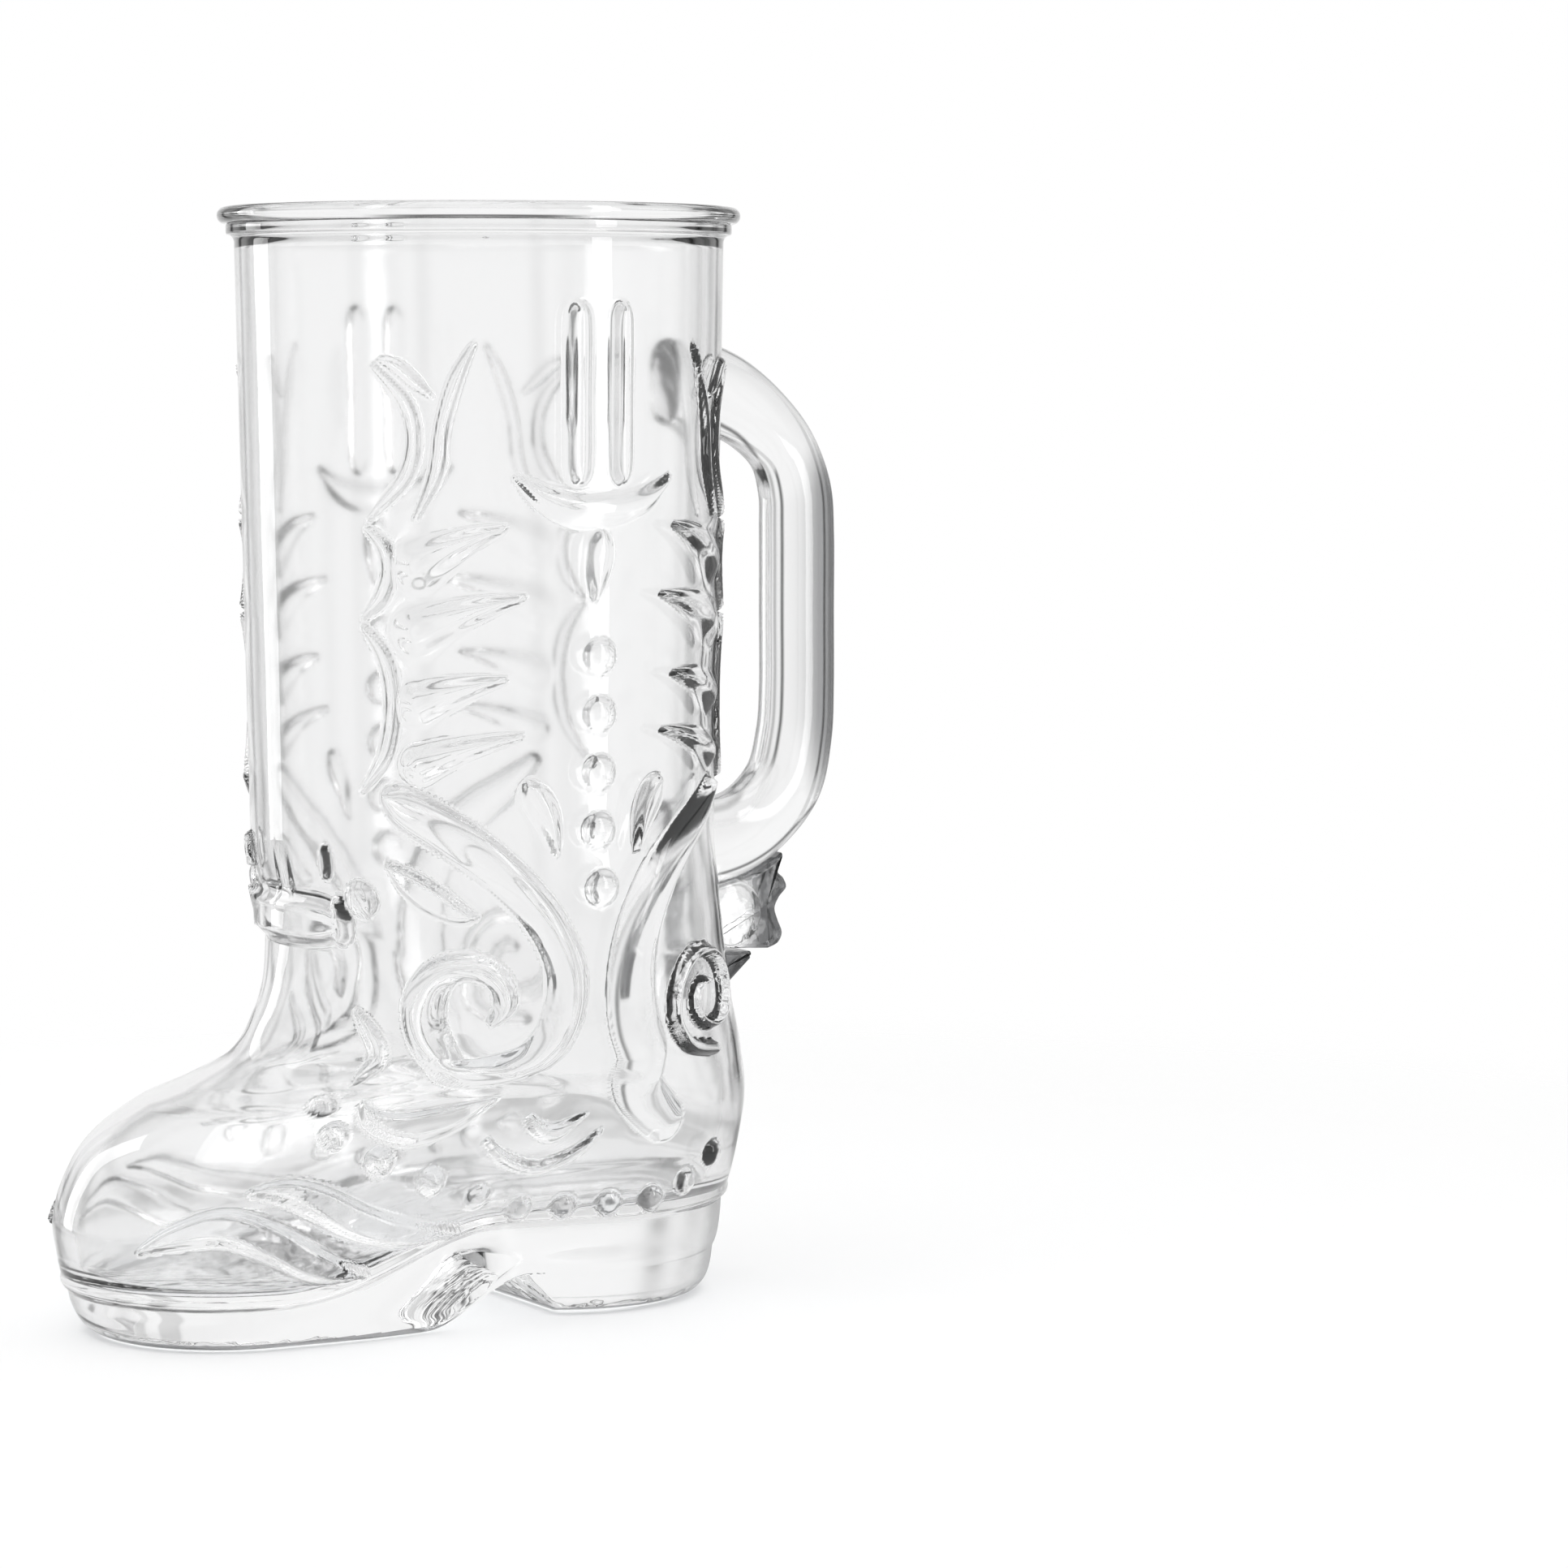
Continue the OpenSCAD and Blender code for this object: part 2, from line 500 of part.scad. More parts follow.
// The wing-shaped line down the front and the back of each side: arcs that meet in points
wing_shares = [
    [[0.798, 0.800, 0.3], [0.756, 0.74, 1], [0.744, 0.675, 1], [0.758, 0.61, 1], [0.808, 0.542, 0.3]],
    [[0.810, 0.528, 0.3], [0.786, 0.498, 1], [0.78, 0.455, 1], [0.792, 0.41, 1], [0.818, 0.378, 0.3]],
    [[0.818, 0.365, 0.3], [0.788, 0.315, 1], [0.777, 0.24, 1], [0.788, 0.15, 1], [0.824, 0.084, 0.3]]];
module wing_cords() {
    color(relief) translate([middle_x, 0, 0]) both_sides()
        for (arc_shares = wing_shares, rows = [arc_shares, mirrored_rows(arc_shares)])
            ridge(leg_rows(rows, cord_w / 2), cord_h, 8);
}
// The horns over the wings, and the line inside them
horn_shares = [
    [[0.788, 0.809, 0.3], [0.766, 0.797, 1], [0.744, 0.772, 1], [0.722, 0.748, 0.3]],
    [[0.668, 0.833, 0.3], [0.69, 0.775, 1], [0.707, 0.7, 1], [0.716, 0.62, 1], [0.742, 0.545, 0.3]]];
module horn_cords() {
    color(relief) translate([middle_x, 0, 0]) both_sides()
        for (arc_shares = horn_shares, rows = [arc_shares, mirrored_rows(arc_shares)])
            ridge(leg_rows(rows, cord_w / 2), cord_h, 7);
}
// Four flame points in a row down each wing. Each row: level of the root, tip round, level of
// the tip, half width of the root.
tooth_rows_shares = [[0.466, 0.628, 0.528, 1], [0.356, 0.603, 0.412, 1], [0.236, 0.628, 0.276, 0.86],
    [0.133, 0.607, 0.18, 0.72]];
tooth_root_share = 0.742;
flame_w = 10.4;
module flame_teeth() {
    color(relief) translate([middle_x, 0, 0]) both_sides()
        for (r = tooth_rows_shares)
            let (shares = [[tooth_root_share, r[0], r[3]],
                [mix(tooth_root_share, r[1], 0.35), mix(r[0], r[2], 0.45), r[3] * 0.66],
                [mix(tooth_root_share, r[1], 0.7), mix(r[0], r[2], 0.8), r[3] * 0.34],
                [r[1], r[2], 0.06]])
                for (rows = [shares, mirrored_rows(shares)])
                    ridge(leg_rows(rows, flame_w / 2), relief_h, 6);
}

// A row of studs down the middle of each side
stud_top_share = 0.312;
stud_step_share = 0.0985;
stud_count = 5;
module side_studs() {
    color(relief) translate([middle_x, 0, 0]) both_sides()
        for (k = [0:stud_count - 1])
            stud(0.5, on_leg(stud_top_share - k * stud_step_share), stud_d, relief_h);
}

// The big front scroll: a stem that sweeps down the side and curls up into a volute
front_scroll_shares = [[0.782, 1.1, 0.4], [0.758, 1.075, 0.85], [0.71, 1.028, 0.92],
    [0.655, 0.962, 0.9], [0.612, 0.886, 0.84], [0.581, 0.804, 0.8], [0.563, 0.71, 0.82],
    [0.566, 0.612, 0.86], [0.579, 0.534, 0.8], [0.604, 0.47, 0.62], [0.65, 0.457, 0.56],
    [0.7, 0.49, 0.68], [0.74, 0.552, 0.84], [0.757, 0.628, 0.88], [0.744, 0.692, 0.74],
    [0.712, 0.726, 0.6], [0.676, 0.722, 0.54], [0.652, 0.688, 0.48], [0.646, 0.64, 0.42],
    [0.66, 0.602, 0.2]];
scroll_w = 8.4;
module front_scrolls() {
    color(relief) translate([middle_x, 0, 0]) both_sides()
        ridge(foot_rows(front_scroll_shares, scroll_w / 2), relief_h, 38);
}
// The rear scroll's stem, which sweeps down beside the handle's foot and round the heel
rear_scroll_shares = [[0.262, 1.1, 0.3], [0.3, 1.04, 0.75], [0.352, 0.98, 0.95],
    [0.405, 0.902, 1.05], [0.444, 0.81, 1.12], [0.463, 0.71, 1.18], [0.463, 0.61, 1.2],
    [0.438, 0.505, 1.18], [0.392, 0.405, 1.1], [0.342, 0.312, 0.95], [0.305, 0.245, 0.4]];
module rear_scrolls() {
    color(relief) translate([middle_x, 0, 0]) both_sides()
        ridge(foot_rows(rear_scroll_shares, scroll_w / 2), relief_h, 20);
}
// The rear volute: a spiral that winds in as it turns
volute_place_share = 0.318;
volute_level_share = 0.625;
volute_d = 23;
volute_turns = 1.55;
volute_rows = [for (k = [0:14])
    let (t = k / 14, a = -100 + 360 * volute_turns * t, r = volute_d / 2 * mix(1, 0.24, t),
        h = on_foot(volute_level_share))
    [volute_place_share + r * cos(a) / (PI * heel_radius(volute_level_share) * 1.03), h + r * sin(a),
        cord_w / 2 * mix(1.1, 0.55, t)]];
module rear_volutes() {
    color(relief) translate([middle_x, 0, 0]) both_sides()
        ridge(volute_rows, relief_h, 28);
}

// Small leaves under the last flames, and the almond leaf beside the scroll's stem
small_leaf_shares = [[0.6, 0.098, 0.3], [0.588, 0.075, 1], [0.572, 0.035, 0.8], [0.561, -0.02, 0.15]];
leaf_w = 6;
module small_leaves() {
    color(relief) translate([middle_x, 0, 0]) both_sides()
        for (rows = [small_leaf_shares, mirrored_rows(small_leaf_shares)])
            ridge(leg_rows(rows, leaf_w / 2), relief_h, 6);
}
ankle_leaf_shares = [[0.79, 0.955, 0.1], [0.762, 0.915, 0.8], [0.735, 0.88, 1], [0.705, 0.85, 0.7],
    [0.678, 0.838, 0.1]];
module ankle_leaves() {
    color(relief) translate([middle_x, 0, 0]) both_sides()
        ridge(foot_rows(ankle_leaf_shares, leaf_w / 2), relief_h, 8);
}
// Crescents under the scrolls
crescent_shares = [
    [[0.725, 0.415, 0.1], [0.68, 0.368, 0.75], [0.63, 0.34, 1], [0.585, 0.345, 0.75], [0.55, 0.378, 0.1]],
    [[0.49, 0.322, 0.1], [0.472, 0.285, 0.45], [0.448, 0.268, 0.5], [0.425, 0.317, 0.1]],
    [[0.525, 0.262, 0.1], [0.495, 0.2, 0.35], [0.452, 0.168, 0.4], [0.415, 0.2, 0.35], [0.395, 0.262, 0.1]]];
module foot_crescents() {
    color(relief) translate([middle_x, 0, 0]) both_sides()
        for (rows = crescent_shares)
            ridge(foot_rows(rows, leaf_w / 2), relief_h, 8);
}
// The fold over the instep, beside the front of the ankle
fold_shares = [[0.852, 0.622, 0.15], [0.83, 0.582, 1], [0.805, 0.532, 1.3], [0.786, 0.485, 1.1],
    [0.777, 0.455, 0.2]];
module instep_folds() {
    color(relief) translate([middle_x, 0, 0]) both_sides()
        ridge(foot_rows(fold_shares, cord_w / 2), cord_h, 8);
}
// The studs that follow the welt, from the instep down and round the heel
welt_stud_shares = [[0.777, 0.422], [0.724, 0.36], [0.65, 0.283], [0.577, 0.193], [0.514, 0.105],
    [0.46, 0.055], [0.41, 0.05], [0.36, 0.05], [0.31, 0.055], [0.265, 0.085], [0.225, 0.15]];
module welt_studs() {
    color(relief) translate([middle_x, 0, 0]) both_sides()
        for (r = welt_stud_shares)
            stud(r[0], on_foot(r[1]), welt_stud_d, relief_h * 0.8);
}
// Two flames along each side of the forepart
flame_shares = [
    [[0.785, 0.262, 0.1], [0.745, 0.258, 0.55], [0.7, 0.22, 0.8], [0.65, 0.155, 0.8], [0.59, 0.078, 0.6],
        [0.53, 0.03, 0.1]],
    [[0.888, 0.135, 0.1], [0.85, 0.17, 0.5], [0.8, 0.19, 0.8], [0.745, 0.15, 0.85], [0.695, 0.085, 0.7],
        [0.645, 0.035, 0.1]]];
module toe_flames() {
    color(relief) translate([middle_x, 0, 0]) both_sides()
        for (rows = flame_shares)
            ridge(foot_rows(rows, scroll_w / 2), relief_h, 10);
}

rim_bead();
rim_collar();
leg_wall();
foot_shell();
sole();
heel_block();
handle();
spur_rowel();
spur_bosses();
spur_stub();
ankle_strap();
strap_buckle();
ankle_studs();
pull_straps();
strap_anchors();
wing_cords();
horn_cords();
flame_teeth();
side_studs();
front_scrolls();
rear_scrolls();
rear_volutes();
small_leaves();
ankle_leaves();
foot_crescents();
instep_folds();
welt_studs();
toe_flames();
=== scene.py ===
"""The look of the beer boot glass: clear pressed glass, standing empty in a white studio.

The shape is one continuous skin of glass. A formula gives the outer skin of the boot at every
place round it and every level, the raised ornament is added to that skin as smooth heights, and
the result is cut into the same pieces that the CAD frame has. All lengths are in millimetres in
the leg's own frame, and each mesh is moved to the row's frame in metres when it is made. A place
round is 0 at the heel's back, 1 at the toe's tip, and 1 to 2 back along the other side.
"""
import logging
import math
from dataclasses import dataclass
from enum import Enum

import bpy
import numpy as np
from mathutils import Matrix, Vector


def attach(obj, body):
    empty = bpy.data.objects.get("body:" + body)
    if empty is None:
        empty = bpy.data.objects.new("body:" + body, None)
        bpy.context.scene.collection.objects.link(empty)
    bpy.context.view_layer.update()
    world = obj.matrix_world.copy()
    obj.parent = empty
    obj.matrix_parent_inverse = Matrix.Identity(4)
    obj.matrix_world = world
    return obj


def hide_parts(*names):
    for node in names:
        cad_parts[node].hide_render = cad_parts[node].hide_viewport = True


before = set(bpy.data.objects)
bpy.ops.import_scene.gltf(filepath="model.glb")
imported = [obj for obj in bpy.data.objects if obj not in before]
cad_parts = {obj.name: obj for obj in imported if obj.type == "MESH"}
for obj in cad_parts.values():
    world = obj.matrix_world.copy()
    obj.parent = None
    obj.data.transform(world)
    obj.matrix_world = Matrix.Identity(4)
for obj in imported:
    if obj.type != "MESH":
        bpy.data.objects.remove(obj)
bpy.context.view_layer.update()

log = logging.getLogger("boot_glass")
MM = 0.001
TINY = 1e-12
Values = float | np.ndarray


def ease(t: np.ndarray) -> np.ndarray:
    """Smooth step 3u^2 - 2u^3, where u is t held between 0 and 1."""
    u = np.clip(t, 0.0, 1.0)
    return u * u * (3.0 - 2.0 * u)


def mix(a: Values, b: Values, t: Values) -> Values:
    """Straight blend from a at t = 0 to b at t = 1."""
    return a + (b - a) * t


def unit(v: np.ndarray) -> np.ndarray:
    """Vectors along the last axis, scaled to length one."""
    return v / np.maximum(np.linalg.norm(v, axis=-1, keepdims=True), TINY)


def full_turn(count: int) -> np.ndarray:
    """Angles spread evenly over a full turn."""
    return np.linspace(0.0, 2 * np.pi, count, endpoint=False)


def smooth_run(rows: np.ndarray, count: int) -> np.ndarray:
    """Points along a smooth curve through given rows, four neighbours at a time.

    Args:
        rows: Rows of numbers, one a place.
        count: How many points to return.
    Returns:
        The points of the Catmull-Rom curve, evenly spread over the rows.
    """
    rows = np.asarray(rows, float)
    last = len(rows) - 1
    u = np.linspace(0.0, last, count)
    k = np.minimum(u.astype(int), last - 1)
    t = (u - k)[:, None]
    p0, p1 = rows[np.maximum(k - 1, 0)], rows[k]
    p2, p3 = rows[k + 1], rows[np.minimum(k + 2, last)]
    return 0.5 * (2 * p1 + (p2 - p0) * t + (2 * p0 - 5 * p1 + 4 * p2 - p3) * t ** 2
                  + (3 * p1 - p0 - 3 * p2 + p3) * t ** 3)


def grid_normals(p: np.ndarray, wrap: bool) -> np.ndarray:
    """Normals of a grid from the cross product of its two directions.

    Args:
        p: Points, rows by columns by 3.
        wrap: Whether the last column joins the first.
    Returns:
        Unit normals, one a point.
    """
    if wrap:
        along = np.roll(p, -1, axis=1) - np.roll(p, 1, axis=1)
    else:
        along = np.gradient(p, axis=1)
    return unit(np.cross(along, np.gradient(p, axis=0)))


@dataclass(frozen=True)
class BootShape:
    """The boot's outer and inner skins, measured from the photograph.

    Every level of the foot is a belt line round two circles, one at the heel and one at the toe.
    The table gives, for shares of the way from the sole to the ankle, the heel's reach and
    radius, the toe's reach and radius, and how far the toe's circle has become the ankle's.
    """

    total_h: float = 200.0
    ankle_h: float = 88.0
    sole_h: float = 7.5
    leg_top_h: float = 192.5
    ankle_r: float = 42.5
    leg_top_r: float = 44.4
    toe_reach: float = 83.5
    heel_reach: float = 50.0
    toe_r: float = 31.5
    heel_r: float = 35.0
    wall: float = 4.0
    floor_t: float = 2.5
    welt_rise: float = 10.0
    middle_x: float = 4.05
    # Where the welt climbs and where the waist lies, as shares of the toe's reach in front of the
    # leg's axis, and the share of the width that the waist takes off.
    climb_from: float = 0.66
    climb_to: float = 0.144
    waist_at: float = 0.168
    waist_half: float = 0.2
    waist_in: float = 0.12
    # Where the lift, the waist and the instep's slope end, as shares of the foot's height, the
    # step of height that the slope is measured over, and the least way between the circles.
    lift_top: float = 0.68
    waist_top: float = 0.22
    slope_top: float = 0.68
    slope_step: float = 0.01
    least_apart: float = 0.004

    TABLE = np.array([
        [0, 0.4, 1.2, 0.94, 0.92, 0], [0.03, 0.55, 1.08, 0.965, 0.955, 0],
        [0.08, 0.7, 1, 0.985, 0.985, 0], [0.155, 0.86, 0.94, 1, 1, 0],
        [0.255, 1, 0.83, 0.94, 0.955, 0], [0.34, 1, 0.7, 0.825, 0.85, 0],
        [0.415, 0.9, 0.56, 0.61, 0.68, 0], [0.455, 0.84, 0.5, 0.4, 0.56, 0],
        [0.505, 0.74, 0.42, 0.19, 0.4, 0.04], [0.59, 0.55, 0.3, 0.065, 0.2, 0.25],
        [0.68, 0.39, 0.19, -0.012, 0.08, 0.52], [0.84, 0.16, 0.05, -0.049, 0, 0.9],
        [1, 0, 0, 0, 0, 1]])

    def column(self, col: int, s: np.ndarray) -> np.ndarray:
        """One column of the table as a smooth curve.

        Args:
            col: Column number.
            s: Shares of the way from the sole to the ankle.
        Returns:
            The cubic Hermite curve through the column, with slopes from the neighbours and
            a level end, so that the foot runs into the leg without a crease.
        """
        x, y = self.TABLE[:, 0], self.TABLE[:, col]
        slope = np.r_[(y[1] - y[0]) / (x[1] - x[0]), (y[2:] - y[:-2]) / (x[2:] - x[:-2]), 0.0]
        s = np.clip(s, 0.0, 1.0)
        k = np.clip(np.searchsorted(x, s, side="right") - 1, 0, len(x) - 2)
        run = x[k + 1] - x[k]
        t = (s - x[k]) / run
        return ((2 * t ** 3 - 3 * t ** 2 + 1) * y[k] + (t ** 3 - 2 * t ** 2 + t) * run * slope[k]
                + (3 * t ** 2 - 2 * t ** 3) * y[k + 1] + (t ** 3 - t ** 2) * run * slope[k + 1])

    def share(self, level: Values) -> Values:
        """Share of the way from the sole, 0, to the ankle, 1."""
        return (level - self.sole_h) / (self.ankle_h - self.sole_h)

    def on_foot(self, s: Values) -> Values:
        """Level at a share of the foot."""
        return self.sole_h + s * (self.ankle_h - self.sole_h)

    def on_leg(self, s: float) -> float:
        """Level at a share of the leg."""
        return self.ankle_h + s * (self.leg_top_h - self.ankle_h)

    def tip(self, s: np.ndarray) -> np.ndarray:
        """How far the toe or the instep reaches forward at shares of the foot."""
        return mix(self.ankle_r, self.toe_reach, self.column(3, s))

    def circles(self, s: np.ndarray) -> tuple:
        """The two circles of a level.

        Args:
            s: Shares of the way from the sole to the ankle.
        Returns:
            Heel middle, heel radius, toe middle, toe radius.
        """
        heel_r = mix(self.ankle_r, self.heel_r, self.column(2, s))
        heel_x = mix(self.ankle_r, self.heel_reach, self.column(1, s)) - heel_r
        toe_r = self.toe_r * self.column(4, s) + self.ankle_r * self.column(5, s)
        return heel_x, heel_r, toe_r - self.tip(s), toe_r

    def belt(self, ch: Values, rh: Values, ct: Values, rt: Values, f: Values) -> tuple:
        """A point on the belt line round two circles.

        Args:
            ch: Heel circle's middle.
            rh: Heel circle's radius.
            ct: Toe circle's middle.
            rt: Toe circle's radius.
            f: 0 at the heel's back to 1 at the toe's tip.
        Returns:
            x and y, found by walking the arc, the straight and the arc by length.
        """
        d = np.maximum(ch - ct, self.least_apart)
        turn = np.arccos(np.clip((rt - rh) / d, -1.0, 1.0))
        straight = np.sqrt(np.maximum(0.0, d * d - (rh - rt) ** 2))
        heel_arc, toe_arc = rh * turn, rt * (np.pi - turn)
        s = f * (heel_arc + straight + toe_arc)
        a1 = s / rh
        k = np.clip((s - heel_arc) / np.maximum(straight, TINY), 0.0, 1.0)
        a2 = turn + (s - heel_arc - straight) / rt
        on_heel, on_side = s < heel_arc, s < heel_arc + straight
        x = np.where(on_heel, ch + rh * np.cos(a1), np.where(
            on_side, mix(ch, ct, k) + mix(rh, rt, k) * np.cos(turn), ct + rt * np.cos(a2)))
        y = np.where(on_heel, rh * np.sin(a1), np.where(
            on_side, mix(rh, rt, k) * np.sin(turn), rt * np.sin(a2)))
        return x, y

    def welt_z(self, x: np.ndarray) -> np.ndarray:
        """Height of the welt at x, which climbs from the front sole to the heel."""
        way = (x / self.toe_reach + self.climb_from) / (self.climb_from - self.climb_to)
        return self.sole_h + self.welt_rise * ease(way)

    def lift(self, x: np.ndarray, level: np.ndarray) -> np.ndarray:
        """Lift of a place by the welt's climb, full at the welt and none above the instep."""
        way = (level - self.sole_h) / (self.lift_top * self.ankle_h - self.sole_h)
        return (self.welt_z(x) - self.sole_h) * (1.0 - ease(way))

    def waist(self, x: np.ndarray, level: np.ndarray) -> np.ndarray:
        """Narrowing of the foot between the ball and the heel, a bell curve that fades upward.

        Args:
            x: Places along the foot.
            level: Levels.
        Returns:
            The share of the width that is left.
        """
        way = (level - self.sole_h) / (self.waist_top * (self.ankle_h - self.sole_h))
        bell = np.exp(-((x / self.toe_reach + self.waist_at) / self.waist_half) ** 2)
        return 1.0 - self.waist_in * bell * (1.0 - ease(way))

    def leg_r(self, level: np.ndarray) -> np.ndarray:
        """Outer radius of the leg, a cone, at some levels."""
        way = (level - self.ankle_h) / (self.leg_top_h - self.ankle_h)
        return mix(self.ankle_r, self.leg_top_r, way)

    @staticmethod
    def fold(f: np.ndarray) -> tuple:
        """Places round as places on the first side, with 1 or -1 for the side itself."""
        other = (f > 1.0) | (f < 0.0)
        return np.where(f > 1.0, 2.0 - f, np.abs(f)), np.where(other, -1.0, 1.0)

    def skin(self, f: Values, level: Values) -> np.ndarray:
        """The bare outer skin: belt lines up to the ankle, and a cone above it.

        Args:
            f: Places round.
            level: Levels; under the ankle they are tipped with the welt.
        Returns:
            Points, with x, y, z along the last axis.
        """
        f, level = np.broadcast_arrays(np.asarray(f, float), np.asarray(level, float))
        half, side = self.fold(f)
        x, y = self.belt(*self.circles(self.share(level)), half)
        y = y * self.waist(x, level)
        up, r, a = level >= self.ankle_h, self.leg_r(level), np.pi * half
        return np.stack([np.where(up, r * np.cos(a), x), np.where(up, r * np.sin(a), y) * side,
                         np.where(up, level, level + self.lift(x, level))], axis=-1)

    def inner(self, f: np.ndarray, level: np.ndarray, extra: np.ndarray,
              height: np.ndarray) -> np.ndarray:
        """The inner skin of the foot, drawn in by the wall and dropped where the instep slopes.

        Args:
            f: Places round, 0 to 2.
            level: Levels of the outer skin that it follows.
            extra: Further drawing in, for the rounded corner of the floor.
            height: Levels that the rings lie at.
        Returns:
            Points of the inner skin.
        """
        s = self.share(level)
        m = self.slope(s)
        heel_x, heel_r, toe_x, toe_r = self.circles(s)
        half, side = self.fold(f)
        x, y = self.belt(heel_x, heel_r - self.wall - extra, toe_x,
                         toe_r - self.wall / np.sqrt(1 + m * m) - extra, half)
        y = y * self.waist(x, level) * side
        return np.stack([x, y, height + self.lift(x, height)], axis=-1)

    def slope(self, s: np.ndarray) -> np.ndarray:
        """Slope of the instep, run over rise, from a small step up and down.

        Args:
            s: Shares of the way from the sole to the ankle.
        Returns:
            Slopes, never under zero and fading out at the ankle.
        """
        e = self.slope_step
        run = self.tip(s - e) - self.tip(s + e)
        fade = ease((1 - s) / (1 - self.slope_top))
        return np.maximum(0.0, run / (2 * e * (self.ankle_h - self.sole_h))) * fade

    def back_x(self, y: np.ndarray, z: np.ndarray) -> np.ndarray:
        """Where the wall's back lies, for what stands on it beside the middle line.

        Args:
            y: Places across.
            z: Heights.
        Returns:
            x of the outer skin there.
        """
        heel_x, heel_r, _, _ = self.circles(self.share(z))
        leg = np.sqrt(np.maximum(self.leg_r(z) ** 2 - y * y, 0.0))
        foot = heel_x + np.sqrt(np.maximum(heel_r ** 2 - y * y, 0.0))
        return np.where(z >= self.ankle_h, leg, foot)

    def back_line(self, z: np.ndarray) -> np.ndarray:
        """x of the wall's back on the middle line."""
        return self.back_x(np.zeros(len(z)), z)


class Sheet:
    """Quads on shared points, with the smooth normal of each point."""

    # How the underside, the arch and the edge that meets the table are told apart: the height of
    # the edge that gets a painted contact shadow, and parts of the normal.
    CONTACT_SHADOW_H = 1.1
    LEVEL_Z = -0.985
    UNDER_Z = -0.6
    ARCH_X = 0.2
    ARCH_Y = 0.3

    def __init__(self) -> None:
        """Starts empty."""
        self.points, self.normals, self.quads, self.marks = [], [], [], []
        self.size = 0

    def grid(self, p: np.ndarray, wrap: bool, own: bool, keep: np.ndarray | None = None,
             normals: np.ndarray | None = None, finish: int = 0) -> "Sheet":
        """Adds a grid of points.

        Args:
            p: Points, rows by columns by 3.
            wrap: Whether the last column joins the first.
            own: Whether the faces point to the grid's own side, columns crossed with rows.
            keep: Mask of the faces to keep, rows-1 by columns.
            normals: Normals of the points, or None for those of the grid.
            finish: Which of the piece's finishes these faces have.
        Returns:
            The sheet itself.
        """
        rows, cols = p.shape[:2]
        n = grid_normals(p, wrap) if normals is None else normals
        index = np.arange(rows * cols).reshape(rows, cols)
        a = index if wrap else index[:, :-1]
        b = np.roll(index, -1, axis=1) if wrap else index[:, 1:]
        quad = np.stack([a[:-1], b[:-1], b[1:], a[1:]], axis=-1)
        quad = quad[keep] if keep is not None else quad.reshape(-1, 4)
        if not own:
            quad, n = quad[:, ::-1], -n
        used, small = np.unique(quad, return_inverse=True)
        self.points.append(p.reshape(-1, 3)[used])
        self.normals.append(n.reshape(-1, 3)[used])
        self.quads.append(small.reshape(-1, 4) + self.size)
        self.marks.append(np.full(len(quad), finish))
        self.size += len(used)
        return self

    def joined(self) -> list:
        """Points, normals and quads of all the grids, each as one array."""
        return [np.concatenate(v) for v in (self.points, self.normals, self.quads)]

    def mark_low(self) -> "Sheet":
        """Gives the underside the second finish and the edge that meets the table the third, a
        painted contact shadow.

        Returns:
            The sheet itself.
        """
        p, n, q = self.joined()
        way, middle = unit(n)[q].mean(axis=1), p[q].mean(axis=1)
        arch = (way[:, 0] > self.ARCH_X) & (np.abs(way[:, 1]) < self.ARCH_Y) & (middle[:, 0] < 0.0)
        edge = (way[:, 2] > self.LEVEL_Z) & (middle[:, 2] < self.CONTACT_SHADOW_H) & ~arch
        # Mark 2 is the edge that meets the table, which gets a painted contact shadow.
        self.marks = [np.where(edge, 2, way[:, 2] < self.UNDER_Z)]
        return self

    def piece(self, name: str, node: str, slot: str, shape: BootShape,
              *finishes: bpy.types.Material) -> bpy.types.Object:
        """Makes the Blender object that stands for one CAD node.

        Args:
            name: Name of the piece.
            node: CAD node that it replaces.
            slot: The record's material slot; not used.
            shape: The boot, for the offset to the row's frame.
            finishes: Finishes, in the order that the faces are marked with.
        Returns:
            The finished object, riding the root body.
        """
        p, n, q = self.joined()
        p = (p + [shape.middle_x, 0.0, 0.0]) * MM
        mesh = bpy.data.meshes.new(name)
        mesh.vertices.add(len(p))
        mesh.vertices.foreach_set("co", p.astype(np.float32).ravel())
        mesh.loops.add(q.size)
        mesh.loops.foreach_set("vertex_index", q.astype(np.int32).ravel())
        mesh.polygons.add(len(q))
        mesh.polygons.foreach_set("loop_start", np.arange(0, q.size, 4, dtype=np.int32))
        mesh.update(calc_edges=True)
        mesh.polygons.foreach_set("use_smooth", np.ones(len(q), bool))
        mesh.normals_split_custom_set_from_vertices(unit(n).tolist())
        for finish in finishes:
            mesh.materials.append(finish)
        marks = np.concatenate(self.marks).astype(np.int32)
        mesh.polygons.foreach_set("material_index", marks)
        obj = bpy.data.objects.new(name, mesh)
        bpy.context.scene.collection.objects.link(obj)
        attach(obj, "root")
        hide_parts(node)
        return obj


class Profile(Enum):
    """How a raised line's height falls from its middle line, at 0, to its edge, at 1.

    Two numbers are a smooth step: where it starts to fall, and over what run. Three are a bow:
    where it ends, the power of the distance, and the power of what is left.
    """

    BAND = (0.5, 0.55)
    SOFT = (0.12, 1.0)
    CORD = (1.12, 2.0, 1.2)
    TUBE = (1.05, 2.0, 0.72)
    DOME = (1.04, 2.6, 0.8)

    def height(self, t: np.ndarray) -> np.ndarray:
        """Share of the full height.

        Args:
            t: Distances from the middle line over the half width.
        Returns:
            Shares, 1 on the middle line.
        """
        if len(self.value) == 2:
            start, run = self.value
            return 1.0 - ease((t - start) / run)
        end, power, whole = self.value
        return np.clip(1.0 - (t / end) ** power, 0.0, 1.0) ** whole


@dataclass(frozen=True)
class Ridge:
    """A raised line on the skin: rows of place round, level and half width.

    A round button is a line that starts and ends at the same place.
    """

    node: str
    rows: np.ndarray
    height: float
    profile: Profile


